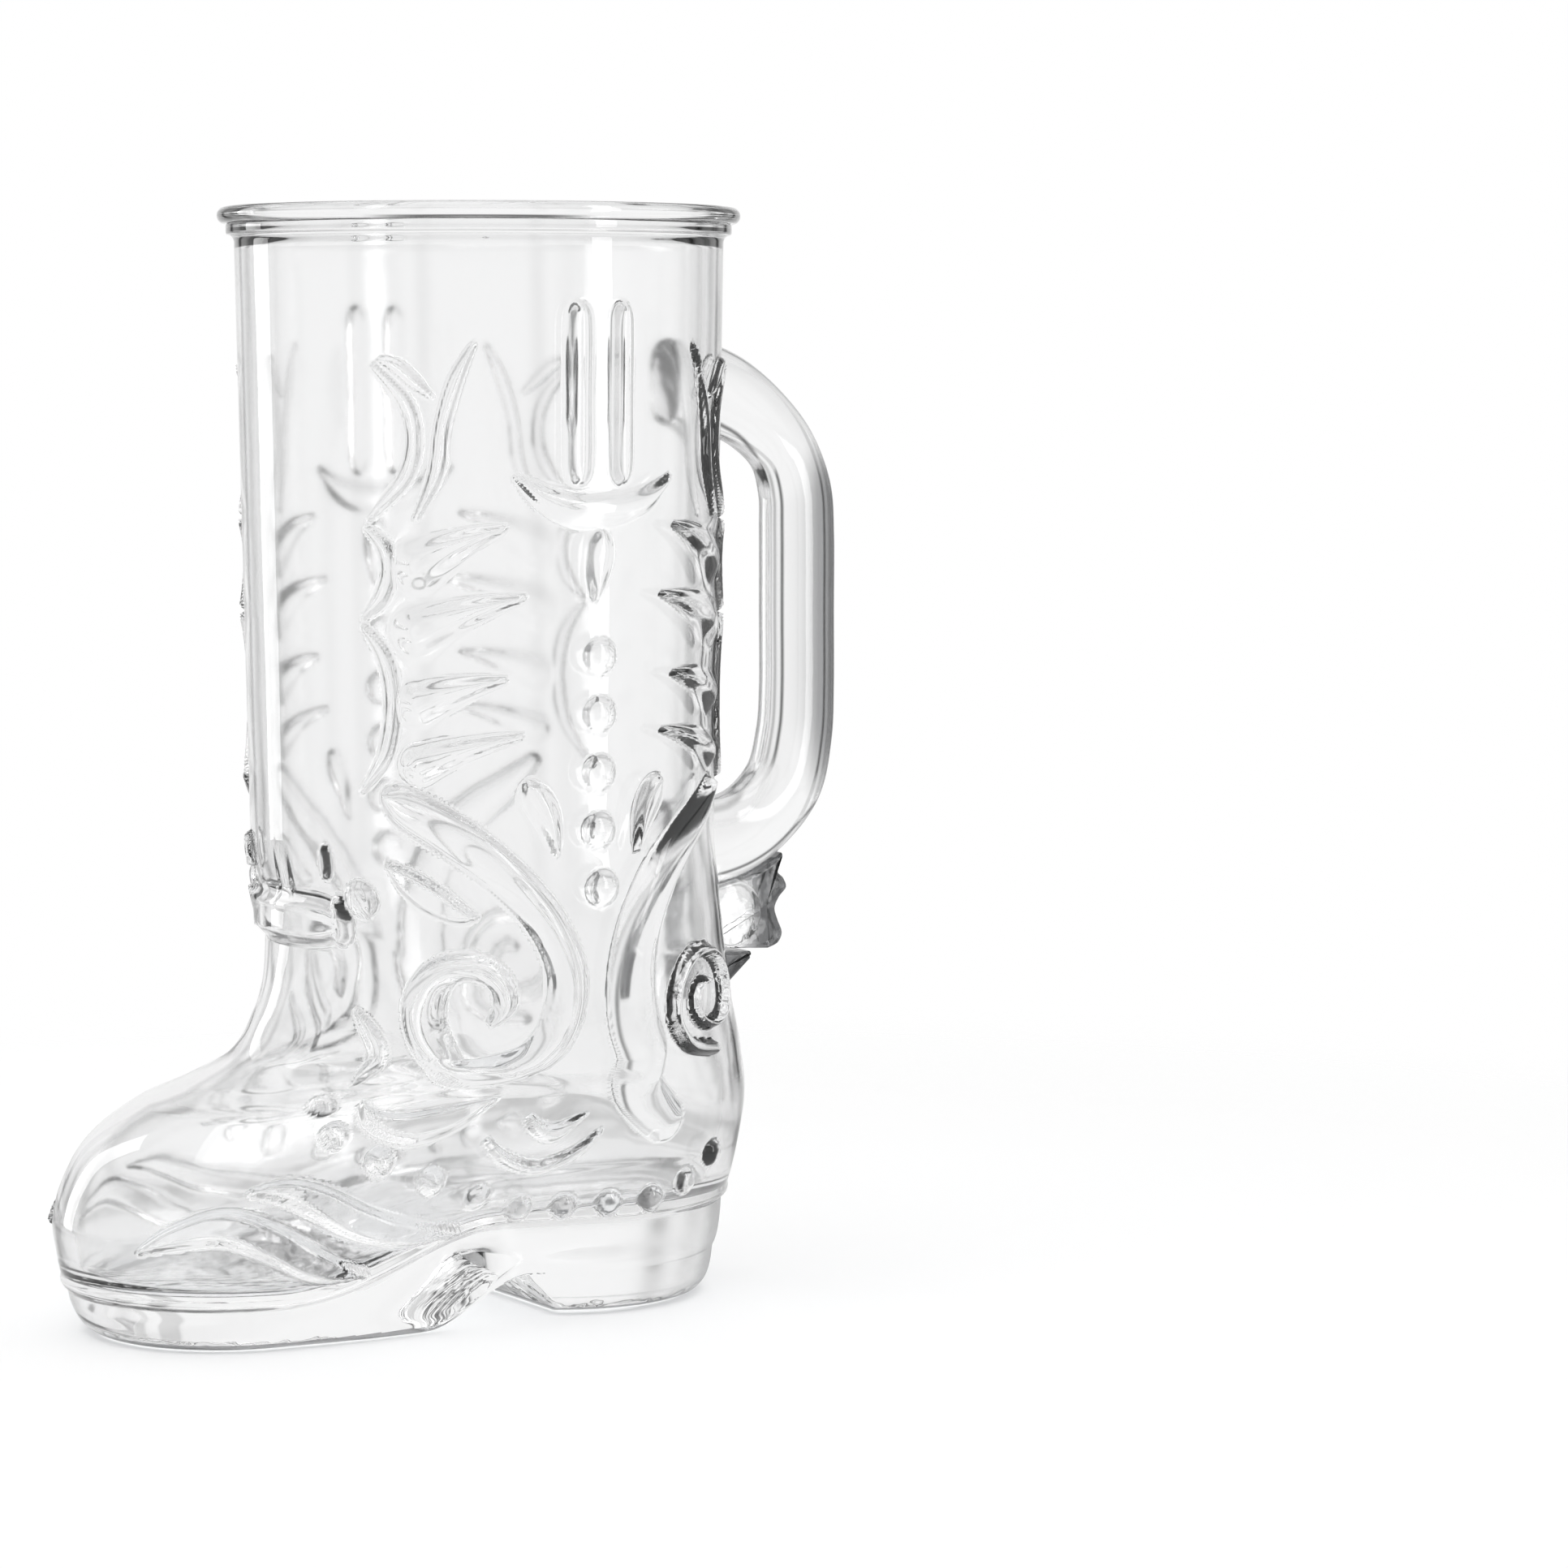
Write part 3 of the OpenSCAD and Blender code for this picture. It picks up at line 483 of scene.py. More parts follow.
@dataclass(frozen=True)
class Tooling:
    """Raised lines of one kind: rows of place round, share of the height, share of the width.

    Heights are shares of the leg or of the foot. With both, each line also stands mirrored
    behind the side's middle line.
    """

    node: str
    width: float
    height: float
    profile: Profile
    on_leg: bool
    lines: list
    both: bool = False


@dataclass(frozen=True)
class Ornament:
    """Every raised line and button on one side of the boot, at the CAD nodes' places."""

    shape: BootShape
    cord_h: float = 1.2
    relief_h: float = 1.5
    scroll_h: float = 2.3
    strap_h: float = 2.0
    cord_w: float = 2.6
    scroll_w: float = 8.4
    leaf_w: float = 6.0
    anchor_w: float = 7.0
    strap_w: float = 10.0
    buckle_w: float = 4.16
    ankle_stud_w: float = 3.1
    pull_strap_w: float = 5.6
    pull_strap_apart: float = 0.031
    tooth_w: float = 10.4
    tooth_root: float = 0.742
    tooth_tip: float = 0.06
    stud_d: float = 6.6
    stud_count: int = 5
    stud_first: float = 0.312
    stud_pitch: float = 0.0985
    welt_stud_d: float = 4.8
    welt_line_h: float = 0.5
    welt_line_w: float = 2.4
    welt_line_up: float = 1.5
    volute_f: float = 0.318
    volute_level: float = 0.625
    volute_r: float = 11.5
    volute_end: float = 0.24
    volute_start: float = -100.0
    volute_turns: float = 1.55
    volute_points: int = 15
    volute_fit: float = 1.03
    volute_wide: tuple = (1.1, 0.55)

    # Root, tip's place round, tip and width of each flame point, as shares of the leg.
    TEETH = ((0.466, 0.628, 0.528, 1), (0.356, 0.603, 0.412, 1), (0.236, 0.628, 0.276, 0.86),
             (0.133, 0.607, 0.18, 0.72))
    ANKLE_STUD = (0.838, 0.87)
    WELT_STUDS = ((0.777, 0.422), (0.724, 0.36), (0.65, 0.283), (0.577, 0.193), (0.514, 0.105),
                  (0.46, 0.055), (0.41, 0.05), (0.36, 0.05), (0.31, 0.055), (0.265, 0.085),
                  (0.225, 0.15))

    def toolings(self) -> list[Tooling]:
        """The table of the raised lines.

        Returns:
            Every kind but the welt's line and the volute, in the order of raising.
        """
        band, soft, cord, tube = Profile.BAND, Profile.SOFT, Profile.CORD, Profile.TUBE
        return [
            Tooling("ankle_strap", self.strap_w, self.strap_h, band, False, [
                [[0.893, 0.818, 0.8], [0.915, 0.817, 0.97], [0.95, 0.815, 1], [1, 0.815, 1],
                 [1.05, 0.815, 1], [1.085, 0.817, 0.97], [1.107, 0.818, 0.8]]]),
            Tooling("strap_buckle", self.buckle_w, self.strap_h, cord, False, [
                [[0.8775, 0.775, 0.35], [0.877, 0.79, 0.95], [0.876, 0.82, 1], [0.875, 0.85, 0.9],
                 [0.8745, 0.865, 0.3]]]),
            Tooling("ankle_studs", self.ankle_stud_w, self.relief_h, cord, False, [
                [[0.889, 0.915, 0.3], [0.8885, 0.94, 0.9], [0.888, 0.965, 0.8],
                 [0.8875, 0.985, 0.25]]]),
            Tooling("strap_anchors", self.anchor_w, self.relief_h, soft, True, [
                [[0.614, 0.612, 0.12], [0.578, 0.58, 0.65], [0.54, 0.562, 0.95], [0.5, 0.557, 1],
                 [0.46, 0.562, 0.95], [0.422, 0.58, 0.65], [0.386, 0.612, 0.12]],
                [[0.5, 0.512, 0.5], [0.502, 0.49, 0.95], [0.505, 0.455, 0.8],
                 [0.508, 0.405, 0.1]]]),
            Tooling("front_scrolls", self.scroll_w, self.scroll_h, tube, False, [
                [[0.782, 1.1, 0.4], [0.758, 1.075, 0.85], [0.71, 1.028, 0.92], [0.655, 0.962, 0.9],
                 [0.612, 0.886, 0.84], [0.581, 0.804, 0.8], [0.563, 0.71, 0.82],
                 [0.566, 0.612, 0.86], [0.579, 0.534, 0.8], [0.604, 0.47, 0.62],
                 [0.65, 0.457, 0.56], [0.7, 0.49, 0.68], [0.74, 0.552, 0.84], [0.757, 0.628, 0.88],
                 [0.744, 0.692, 0.74], [0.712, 0.726, 0.6], [0.676, 0.722, 0.54],
                 [0.652, 0.688, 0.48], [0.646, 0.64, 0.42], [0.66, 0.602, 0.2]]]),
            Tooling("rear_scrolls", self.scroll_w, self.scroll_h, tube, False, [
                [[0.262, 1.1, 0.3], [0.3, 1.04, 0.75], [0.352, 0.98, 0.95], [0.405, 0.902, 1.05],
                 [0.444, 0.81, 1.12], [0.463, 0.71, 1.18], [0.463, 0.61, 1.2], [0.438, 0.505, 1.18],
                 [0.392, 0.405, 1.12], [0.35, 0.33, 1.04], [0.322, 0.28, 0.95]]]),
            Tooling("ankle_leaves", self.leaf_w, self.relief_h, band, False, [
                [[0.79, 0.955, 0.1], [0.762, 0.915, 0.8], [0.735, 0.88, 1], [0.705, 0.85, 0.7],
                 [0.678, 0.838, 0.1]]]),
            Tooling("instep_folds", self.cord_w, self.cord_h, cord, False, [
                [[0.852, 0.622, 0.15], [0.83, 0.582, 1], [0.805, 0.532, 1.3], [0.786, 0.485, 1.1],
                 [0.777, 0.455, 0.2]]]),
            Tooling("pull_straps", self.pull_strap_w, self.relief_h, soft, True, [
                [[0.5 + side * self.pull_strap_apart, level, wide] for level, wide in (
                    (0.615, 0.7), (0.64, 1), (0.75, 1), (0.865, 1), (0.89, 0.75))]
                for side in (-1, 1)]),
            Tooling("wing_cords", self.cord_w, self.cord_h, cord, True, [
                [[0.798, 0.800, 0.3], [0.756, 0.74, 1], [0.744, 0.675, 1], [0.758, 0.61, 1],
                 [0.808, 0.542, 0.3]],
                [[0.810, 0.528, 0.3], [0.786, 0.498, 1], [0.78, 0.455, 1], [0.792, 0.41, 1],
                 [0.818, 0.378, 0.3]],
                [[0.818, 0.365, 0.3], [0.788, 0.315, 1], [0.777, 0.24, 1], [0.788, 0.15, 1],
                 [0.824, 0.084, 0.3]]], True),
            Tooling("horn_cords", self.cord_w, self.cord_h, cord, True, [
                [[0.788, 0.809, 0.3], [0.766, 0.797, 1], [0.744, 0.772, 1], [0.722, 0.748, 0.3]],
                [[0.668, 0.833, 0.3], [0.69, 0.775, 1], [0.707, 0.7, 1], [0.716, 0.62, 1],
                 [0.742, 0.545, 0.3]]], True),
            Tooling("flame_teeth", self.tooth_w, self.relief_h, soft, True,
                    [self.tooth(*t) for t in self.TEETH], True),
            Tooling("small_leaves", self.leaf_w, self.relief_h, soft, True, [
                [[0.6, 0.098, 0.3], [0.588, 0.075, 1], [0.572, 0.035, 0.8],
                 [0.561, -0.02, 0.15]]], True),
            Tooling("foot_crescents", self.leaf_w, self.relief_h, band, False, [
                [[0.725, 0.415, 0.1], [0.68, 0.368, 0.75], [0.63, 0.34, 1], [0.585, 0.345, 0.75],
                 [0.55, 0.378, 0.1]],
                [[0.49, 0.322, 0.1], [0.472, 0.285, 0.45], [0.448, 0.268, 0.5],
                 [0.425, 0.317, 0.1]],
                [[0.525, 0.262, 0.1], [0.495, 0.2, 0.35], [0.452, 0.168, 0.4], [0.415, 0.2, 0.35],
                 [0.395, 0.262, 0.1]]]),
            Tooling("toe_flames", self.scroll_w, self.relief_h, band, False, [
                [[0.785, 0.262, 0.1], [0.745, 0.258, 0.55], [0.7, 0.22, 0.8], [0.65, 0.155, 0.8],
                 [0.59, 0.078, 0.6], [0.53, 0.03, 0.1]],
                [[0.888, 0.135, 0.1], [0.85, 0.17, 0.5], [0.8, 0.19, 0.8], [0.745, 0.15, 0.85],
                 [0.695, 0.085, 0.7], [0.645, 0.035, 0.1]]])]

    def tooth(self, root: float, tip_f: float, tip: float, width: float) -> list:
        """One flame point of the wing.

        Args:
            root: Share of the leg at the root.
            tip_f: Place round of the tip.
            tip: Share of the leg at the tip.
            width: Share of the half width at the root.
        Returns:
            Rows from the broad root to the fine tip.
        """
        rows = [[mix(self.tooth_root, tip_f, along), mix(root, tip, up), width * wide]
                for along, up, wide in ((0.0, 0.0, 1.0), (0.35, 0.45, 0.66), (0.7, 0.8, 0.34))]
        return rows + [[tip_f, tip, self.tooth_tip]]

    def ridges(self) -> list[Ridge]:
        """Everything that is raised, in millimetres.

        Returns:
            The ridges of one side, with the ankle strap that crosses the front.
        """
        out = [self.welt_line()]
        for t in self.toolings():
            level = self.shape.on_leg if t.on_leg else self.shape.on_foot
            for line in t.lines:
                for rows in [line, [[1 - a, b, c] for a, b, c in line]][:1 + t.both]:
                    rows = np.array([[a, level(b), c * t.width / 2] for a, b, c in rows])
                    out.append(Ridge(t.node, rows, t.height, t.profile))
        return out + [self.volute()] + self.studs()

    def welt_line(self) -> Ridge:
        """The fine raised line over the sole, which belongs to the foot itself."""
        rows = [[f, self.shape.sole_h + self.welt_line_up, self.welt_line_w / 2]
                for f in (0.0, 0.25, 0.5, 0.75, 1.0)]
        return Ridge("foot_shell", np.array(rows), self.welt_line_h, Profile.CORD)

    def volute(self) -> Ridge:
        """The rear volute, a spiral that winds in and grows thin as it turns.

        Returns:
            The ridge along the spiral.
        """
        t = np.linspace(0.0, 1.0, self.volute_points)
        a = np.radians(self.volute_start + 360 * self.volute_turns * t)
        r = self.volute_r * mix(1.0, self.volute_end, t)
        s = self.volute_level
        round_mm = math.pi * float(self.shape.circles(np.array(s))[1]) * self.volute_fit
        rows = np.stack([self.volute_f + r * np.cos(a) / round_mm,
                         self.shape.on_foot(s) + r * np.sin(a),
                         self.cord_w / 2 * mix(*self.volute_wide, t)], axis=-1)
        return Ridge("rear_volutes", rows, self.scroll_h, Profile.TUBE)

    def studs(self) -> list[Ridge]:
        """All the round buttons of one side.

        Returns:
            The studs down the leg, beside the strap and over the welt.
        """
        s, r = self.shape, self.stud_d / 2
        places = [("side_studs", 0.5, s.on_leg(self.stud_first - k * self.stud_pitch), r)
                  for k in range(self.stud_count)]
        for node, radius, studs in (("ankle_studs", r, [self.ANKLE_STUD]),
                                    ("welt_studs", self.welt_stud_d / 2, self.WELT_STUDS)):
            places += [(node, f, s.on_foot(up), radius) for f, up in studs]
        return [Ridge(node, np.array([[f, level, r]] * 2), self.relief_h, Profile.DOME)
                for node, f, level, r in places]


class OuterSkin:
    """The outer skin with its relief, on one fine grid that all its pieces are cut from."""

    NODES = ["ankle_strap", "strap_buckle", "ankle_studs", "pull_straps", "strap_anchors",
             "wing_cords", "horn_cords", "flame_teeth", "side_studs", "front_scrolls",
             "rear_scrolls", "rear_volutes", "small_leaves", "ankle_leaves", "foot_crescents",
             "instep_folds", "welt_studs", "toe_flames"]
    # Least relief and half width in millimetres, and the half width under which a line is lower.
    LEAST_H = 0.02
    LEAST_W = 0.15
    THIN_W = 1.2
    # Millimetres of the shortest way from heel to toe, and how far past its half width a line is
    # looked for, sideways and then up and down.
    ROUND_MM = 60
    PAST = 1.3
    UP = 1.4
    # Points for each row of a line, stretches measured at once, levels tried, and how much more
    # a climb counts than a reach when the levels are spread.
    ROW_STEPS = 14
    CHUNK = 24
    TRIED = 2000
    CLIMB = 1.6
    # Power of the rounded square that the handle's ends cover.
    END_POWER = 2.4

    def __init__(self, shape: BootShape, ornament: Ornament, around: int, foot_rows: int,
                 leg_rows: int) -> None:
        """Lays the grid and raises the ornament.

        Args:
            shape: The boot.
            ornament: The raised pieces.
            around: Columns round the boot, an even number.
            foot_rows: Rows between the welt and the ankle.
            leg_rows: Rows between the ankle and the rim.
        """
        self.shape = shape
        self.around = around
        self.levels = np.r_[self.foot_levels(foot_rows)[:-1],
                            np.linspace(shape.ankle_h, shape.leg_top_h, leg_rows)]
        self.split = foot_rows - 1
        self.f = np.arange(around) * 2.0 / around
        self.base = shape.skin(*np.meshgrid(self.f, self.levels))
        self.height = np.zeros(self.base.shape[:2])
        self.label = np.full(self.height.shape, -1)
        for ridge in ornament.ridges():
            self.raise_ridge(ridge)
        self.mirror_sides()
        self.points = self.base + self.height[..., None] * grid_normals(self.base, True)
        self.normals = grid_normals(self.points, True)

    def foot_levels(self, count: int) -> np.ndarray:
        """Levels of the foot, closer where the instep lies flat.

        Args:
            count: How many levels.
        Returns:
            Levels evenly spread along the instep's outline.
        """
        level = np.linspace(self.shape.sole_h, self.shape.ankle_h, self.TRIED)
        reach = self.shape.tip(self.shape.share(level))
        walk = np.r_[0.0, np.cumsum(np.hypot(np.diff(level) * self.CLIMB, np.diff(reach)))]
        return np.interp(np.linspace(0.0, walk[-1], count), walk, level)

    def window(self, run: np.ndarray, past: float) -> tuple:
        """Rows and columns that a line can reach.

        Args:
            run: Points of the line, place round and level first.
            past: Millimetres to look past it.
        Returns:
            Row slice and column slice.
        """
        f, level = run[:, 0], run[:, 1]
        aside, up = past / self.ROUND_MM, past * self.UP
        r = np.searchsorted(self.levels, [level.min() - up, level.max() + up])
        c = np.clip(np.searchsorted(self.f, [f.min() - aside, f.max() + aside]), 0, self.around)
        return slice(max(r[0] - 1, 0), r[1] + 1), slice(max(c[0] - 1, 0), c[1] + 1)

    def put(self, rows: slice, cols: slice, h: np.ndarray, node: str) -> None:
        """Keeps the higher of what is there and what is new.

        Args:
            rows: Rows of the window.
            cols: Columns of the window.
            h: New heights.
            node: CAD node that they belong to.
        """
        more = h > np.maximum(self.height[rows, cols], self.LEAST_H)
        self.height[rows, cols] = np.where(more, h, self.height[rows, cols])
        index = self.NODES.index(node) if node in self.NODES else -1
        self.label[rows, cols] = np.where(more, index, self.label[rows, cols])

    def raise_ridge(self, ridge: Ridge) -> None:
        """Raises a line by the distance to its nearest stretch over the half width there.

        Args:
            ridge: The line.
        """
        run = smooth_run(ridge.rows, self.ROW_STEPS * (len(ridge.rows) - 1) + 1)
        width = np.maximum(run[:, 2], self.LEAST_W)
        widest = float(width.max())
        rows, cols = self.window(run, widest * self.PAST)
        p = self.base[rows, cols]
        v = p.reshape(-1, 3)
        path = self.shape.skin(run[:, 0], run[:, 1])
        start, step = path[:-1], np.diff(path, axis=0)
        best = np.full(len(v), np.inf)
        for k in range(0, len(start), self.CHUNK):
            part = slice(k, k + self.CHUNK)
            rel, seg = v[:, None] - start[None, part], step[None, part]
            t = np.clip((rel * seg).sum(-1) / np.maximum((seg ** 2).sum(-1), TINY), 0.0, 1.0)
            d = np.linalg.norm(rel - t[..., None] * seg, axis=-1)
            w = mix(width[:-1][None, part], width[1:][None, part], t)
            best = np.minimum(best, (d / w).min(axis=1))
        thin = np.clip(widest / self.THIN_W, 0.0, 1.0)
        h = ridge.height * thin * ridge.profile.height(best.reshape(p.shape[:2]))
        self.put(rows, cols, h, ridge.node)

    def mirror_sides(self) -> None:
        """Copies the first side's heights and labels to the other side."""
        to = np.arange(self.around // 2 + 1, self.around)
        for values in (self.height, self.label):
            values[:, to] = values[:, self.around - to]

    def face_labels(self) -> np.ndarray:
        """The piece that each face belongs to.

        Returns:
            Index into NODES, or -1 for the plain wall, rows-1 by columns.
        """
        a = self.label
        b = np.roll(a, -1, axis=1)
        return np.max([a[:-1], a[1:], b[:-1], b[1:]], axis=0)

    def holes(self, footprints: list) -> np.ndarray:
        """Faces under the handle's two ends, where the glass runs through.

        Args:
            footprints: Middle height, half height and half width of each end.
        Returns:
            Mask of the faces to leave out.
        """
        c = (self.base[:-1] + self.base[1:]) / 2
        c = (c + np.roll(c, -1, axis=1)) / 2
        out = np.zeros(c.shape[:2], bool)
        for z, half_z, half_y in footprints:
            inside = (np.abs((c[..., 2] - z) / half_z) ** self.END_POWER
                      + np.abs(c[..., 1] / half_y) ** self.END_POWER) < 1.0
            out |= inside & (c[..., 0] > 0)
        return out


class Ink:
    """A shader socket that adds, takes away and multiplies like a number."""

    def __init__(self, nodes: "Nodes", socket: bpy.types.NodeSocket | None) -> None:
        """Wraps a socket."""
        self.nodes = nodes
        self.socket = socket

    def __getitem__(self, output: int | str) -> "Ink":
        """Another output of the same node."""
        return Ink(self.nodes, self.socket.node.outputs[output])

    def __add__(self, other: "float | Ink") -> "Ink":
        """Sum."""
        return self.nodes.math("ADD", self, other)

    def __sub__(self, other: "float | Ink") -> "Ink":
        """Difference."""
        return self.nodes.math("SUBTRACT", self, other)

    def __rsub__(self, other: float) -> "Ink":
        """Difference from a number."""
        return self.nodes.math("SUBTRACT", other, self)

    def __mul__(self, other: "float | Ink") -> "Ink":
        """Product."""
        return self.nodes.math("MULTIPLY", self, other)

    def __mod__(self, other: float) -> "Ink":
        """Rest of a division."""
        return self.nodes.math("MODULO", self, other)

    def __abs__(self) -> "Ink":
        """Size without its sign."""
        return self.nodes.math("ABSOLUTE", self)

    __radd__ = __add__
    __rmul__ = __mul__

    def top(self, other: "float | Ink") -> "Ink":
        """Larger of two."""
        return self.nodes.math("MAXIMUM", self, other)

    def angle(self, other: "Ink") -> "Ink":
        """Angle of the direction that has these two sides."""
        return self.nodes.math("ARCTAN2", self, other)

    def between(self, low: float, high: float, a: float = 0.0, b: float = 1.0) -> "Ink":
        """Smooth step of this socket.

        Args:
            low: Where the step starts.
            high: Where it ends.
            a: Value at the start.
            b: Value at the end.
        Returns:
            The wrapped step.
        """
        return self.nodes.add("ShaderNodeMapRange", {"interpolation_type": "SMOOTHSTEP"},
                              {0: self, 1: low, 2: high, 3: a, 4: b})


class Nodes:
    """The node tree of a material or a world, emptied and then filled node by node."""

    def __init__(self, owner: bpy.types.Material | bpy.types.World) -> None:
        """Turns the nodes on and empties the tree.

        Args:
            owner: The material or the world.
        """
        owner.use_nodes = True
        self.tree = owner.node_tree
        self.tree.nodes.clear()

    def add(self, kind: str, settings: dict, inputs: dict, output: int | str = 0) -> Ink:
        """Makes a node.

        Args:
            kind: Node type.
            settings: Properties of the node, set first.
            inputs: Input sockets by index or name; numbers, colours or wrapped sockets.
            output: Output socket to return.
        Returns:
            The wrapped output.
        """
        node = self.tree.nodes.new(kind)
        for key, value in settings.items():
            setattr(node, key, value)
        for key, value in inputs.items():
            if isinstance(value, Ink):
                self.tree.links.new(value.socket, node.inputs[key])
            elif value is not None:
                node.inputs[key].default_value = value
        return Ink(self, node.outputs[output] if len(node.outputs) else None)

    def math(self, kind: str, *values: float | Ink) -> Ink:
        """One Math node of an operation on some values."""
        return self.add("ShaderNodeMath", {"operation": kind}, dict(enumerate(values)))

    def blend(self, share: Ink, first: Ink, second: Ink) -> Ink:
        """Two shaders mixed by a share."""
        return self.add("ShaderNodeMixShader", {}, {0: share, 1: first, 2: second})

    def tint(self, share: Ink, first: tuple | Ink, second: tuple | Ink) -> Ink:
        """Two colours mixed by a share."""
        return self.add("ShaderNodeMix", {"data_type": "RGBA"}, {0: share, 6: first, 7: second}, 2)

    def place(self, kind: str) -> tuple:
        """A texture coordinate.

        Args:
            kind: Which of the coordinates.
        Returns:
            The coordinate itself and its three axes.
        """
        place = self.add("ShaderNodeTexCoord", {}, {}, kind)
        parts = self.add("ShaderNodeSeparateXYZ", {}, {0: place})
        return place, parts[0], parts[1], parts[2]


@dataclass(frozen=True)
class GlassFinish:
    """Clear pressed glass with a faint waviness.

    Colours are for looking straight in, for looking along the surface, which is a painted shade
    that darkens the glass at grazing angles, for light that passes to the shadow, and for the
    painted shade that darkens the glass past a place along the boot. Pairs of places are where a
    change starts and ends: of the facing for the painted grazing shade, of the height for the
    waves' calm, and along the boot for the painted shade and the rough one. A wave is its scale
    and its depth in metres.
    """

    name: str
    clear: tuple = (0.968, 0.969, 0.97, 1.0)
    # Painted shade: the colour at grazing angles, darker than the clear one.
    edge: tuple = (0.8, 0.802, 0.805, 1.0)
    grazing_shade_at: tuple = (0.5, 1.0)
    shadow: tuple = (0.94, 0.945, 0.95, 1.0)
    ior: float = 1.5
    wave: tuple = (45.0, 0.0005)
    ripple: tuple = (230.0, 0.00002)
    calm: float = 0.3
    calm_at: tuple = (0.07, 0.11)
    # Painted shade: the colour of the part painted dark past a place along the boot.
    dark: tuple = (0.16, 0.162, 0.166, 1.0)
    painted_shade_at: tuple = (1.0, 1.1)
    painted_shade_rough: float = 0.16
    rough: float = 0.0
    rough_at: tuple = (0.0, 0.03)

    def build(self) -> bpy.types.Material:
        """Makes the material.

        Returns:
            Glass whose shadow rays pass with a little loss.
        """
        mat = bpy.data.materials.new(self.name)
        nodes = Nodes(mat)
        place, along, _, level = nodes.place("Object")
        # Painted shade: past a place along x the colour turns dark and the glass rougher.
        painted_shade_share = along.between(*self.painted_shade_at)
        rough = along.between(*self.rough_at) * self.rough
        bump = None
        for scale, deep in (self.wave, self.ripple):
            noise = nodes.add("ShaderNodeTexNoise", {"noise_dimensions": "3D"},
                              {"Vector": place, "Scale": scale, "Detail": 1.0, "Roughness": 0.4})
            bump = nodes.add("ShaderNodeBump", {}, {
                "Strength": 1.0, "Distance": deep, "Normal": bump,
                "Height": noise * level.between(*self.calm_at, 1.0, self.calm)}, "Normal")
        facing = nodes.add("ShaderNodeLayerWeight", {}, {"Blend": 0.5, "Normal": bump}, "Facing")
        # Painted shade: the colour darkens at grazing angles, which draws the glass's edges dark.
        tint = nodes.tint(facing.between(*self.grazing_shade_at), self.clear, self.edge)
        glass = nodes.add("ShaderNodeBsdfPrincipled", {}, {
            "Base Color": nodes.tint(painted_shade_share, tint, self.dark), "IOR": self.ior,
            "Roughness": painted_shade_share * self.painted_shade_rough + rough, "Transmission Weight": 1.0,
            "Normal": bump})
        passed = nodes.add("ShaderNodeBsdfTransparent", {}, {"Color": self.shadow})
        shadow_ray = nodes.add("ShaderNodeLightPath", {}, {}, "Is Shadow Ray")
        nodes.add("ShaderNodeOutputMaterial", {},
                  {"Surface": nodes.blend(shadow_ray, glass, passed)})
        return mat


@dataclass(frozen=True)
class FloorFinish:
    """White studio floor that keeps the shadow and fades out before the horizon.

    Tones are for the camera, for what the glass shows, and for a ring round the glass that only
    the glass shows. Distances from the glass's middle are in metres.
    """

    name: str = "studio_floor"
    seen: float = 0.93
    in_glass: float = 0.82
    ring: float = 0.5
    ring_at: float = 0.17
    ring_half: float = 0.045
    fade_at: tuple = (0.24, 0.42)

    def build(self) -> bpy.types.Material:
        """Makes the material.

        Returns:
            A matt white whose cover falls to nothing away from the glass.
        """
        mat = bpy.data.materials.new(self.name)
        nodes = Nodes(mat)
        place = nodes.add("ShaderNodeTexCoord", {}, {}, "Object")
        far = nodes.add("ShaderNodeVectorMath", {"operation": "LENGTH"}, {0: place}, "Value")
        seen, ring, in_glass = (
            nodes.add("ShaderNodeBsdfDiffuse", {}, {"Color": (tone, tone, tone, 1.0)})
            for tone in (self.seen, self.ring, self.in_glass))
        off_ring = abs(far - self.ring_at).between(0.0, self.ring_half)
        camera_ray = nodes.add("ShaderNodeLightPath", {}, {}, "Is Camera Ray")
        matt = nodes.blend(camera_ray, nodes.blend(off_ring, ring, in_glass), seen)
        nothing = nodes.add("ShaderNodeBsdfTransparent", {}, {})
        cover = far.between(*self.fade_at, 1.0, 0.0)
        nodes.add("ShaderNodeOutputMaterial", {}, {"Surface": nodes.blend(cover, nothing, matt)})
        return mat


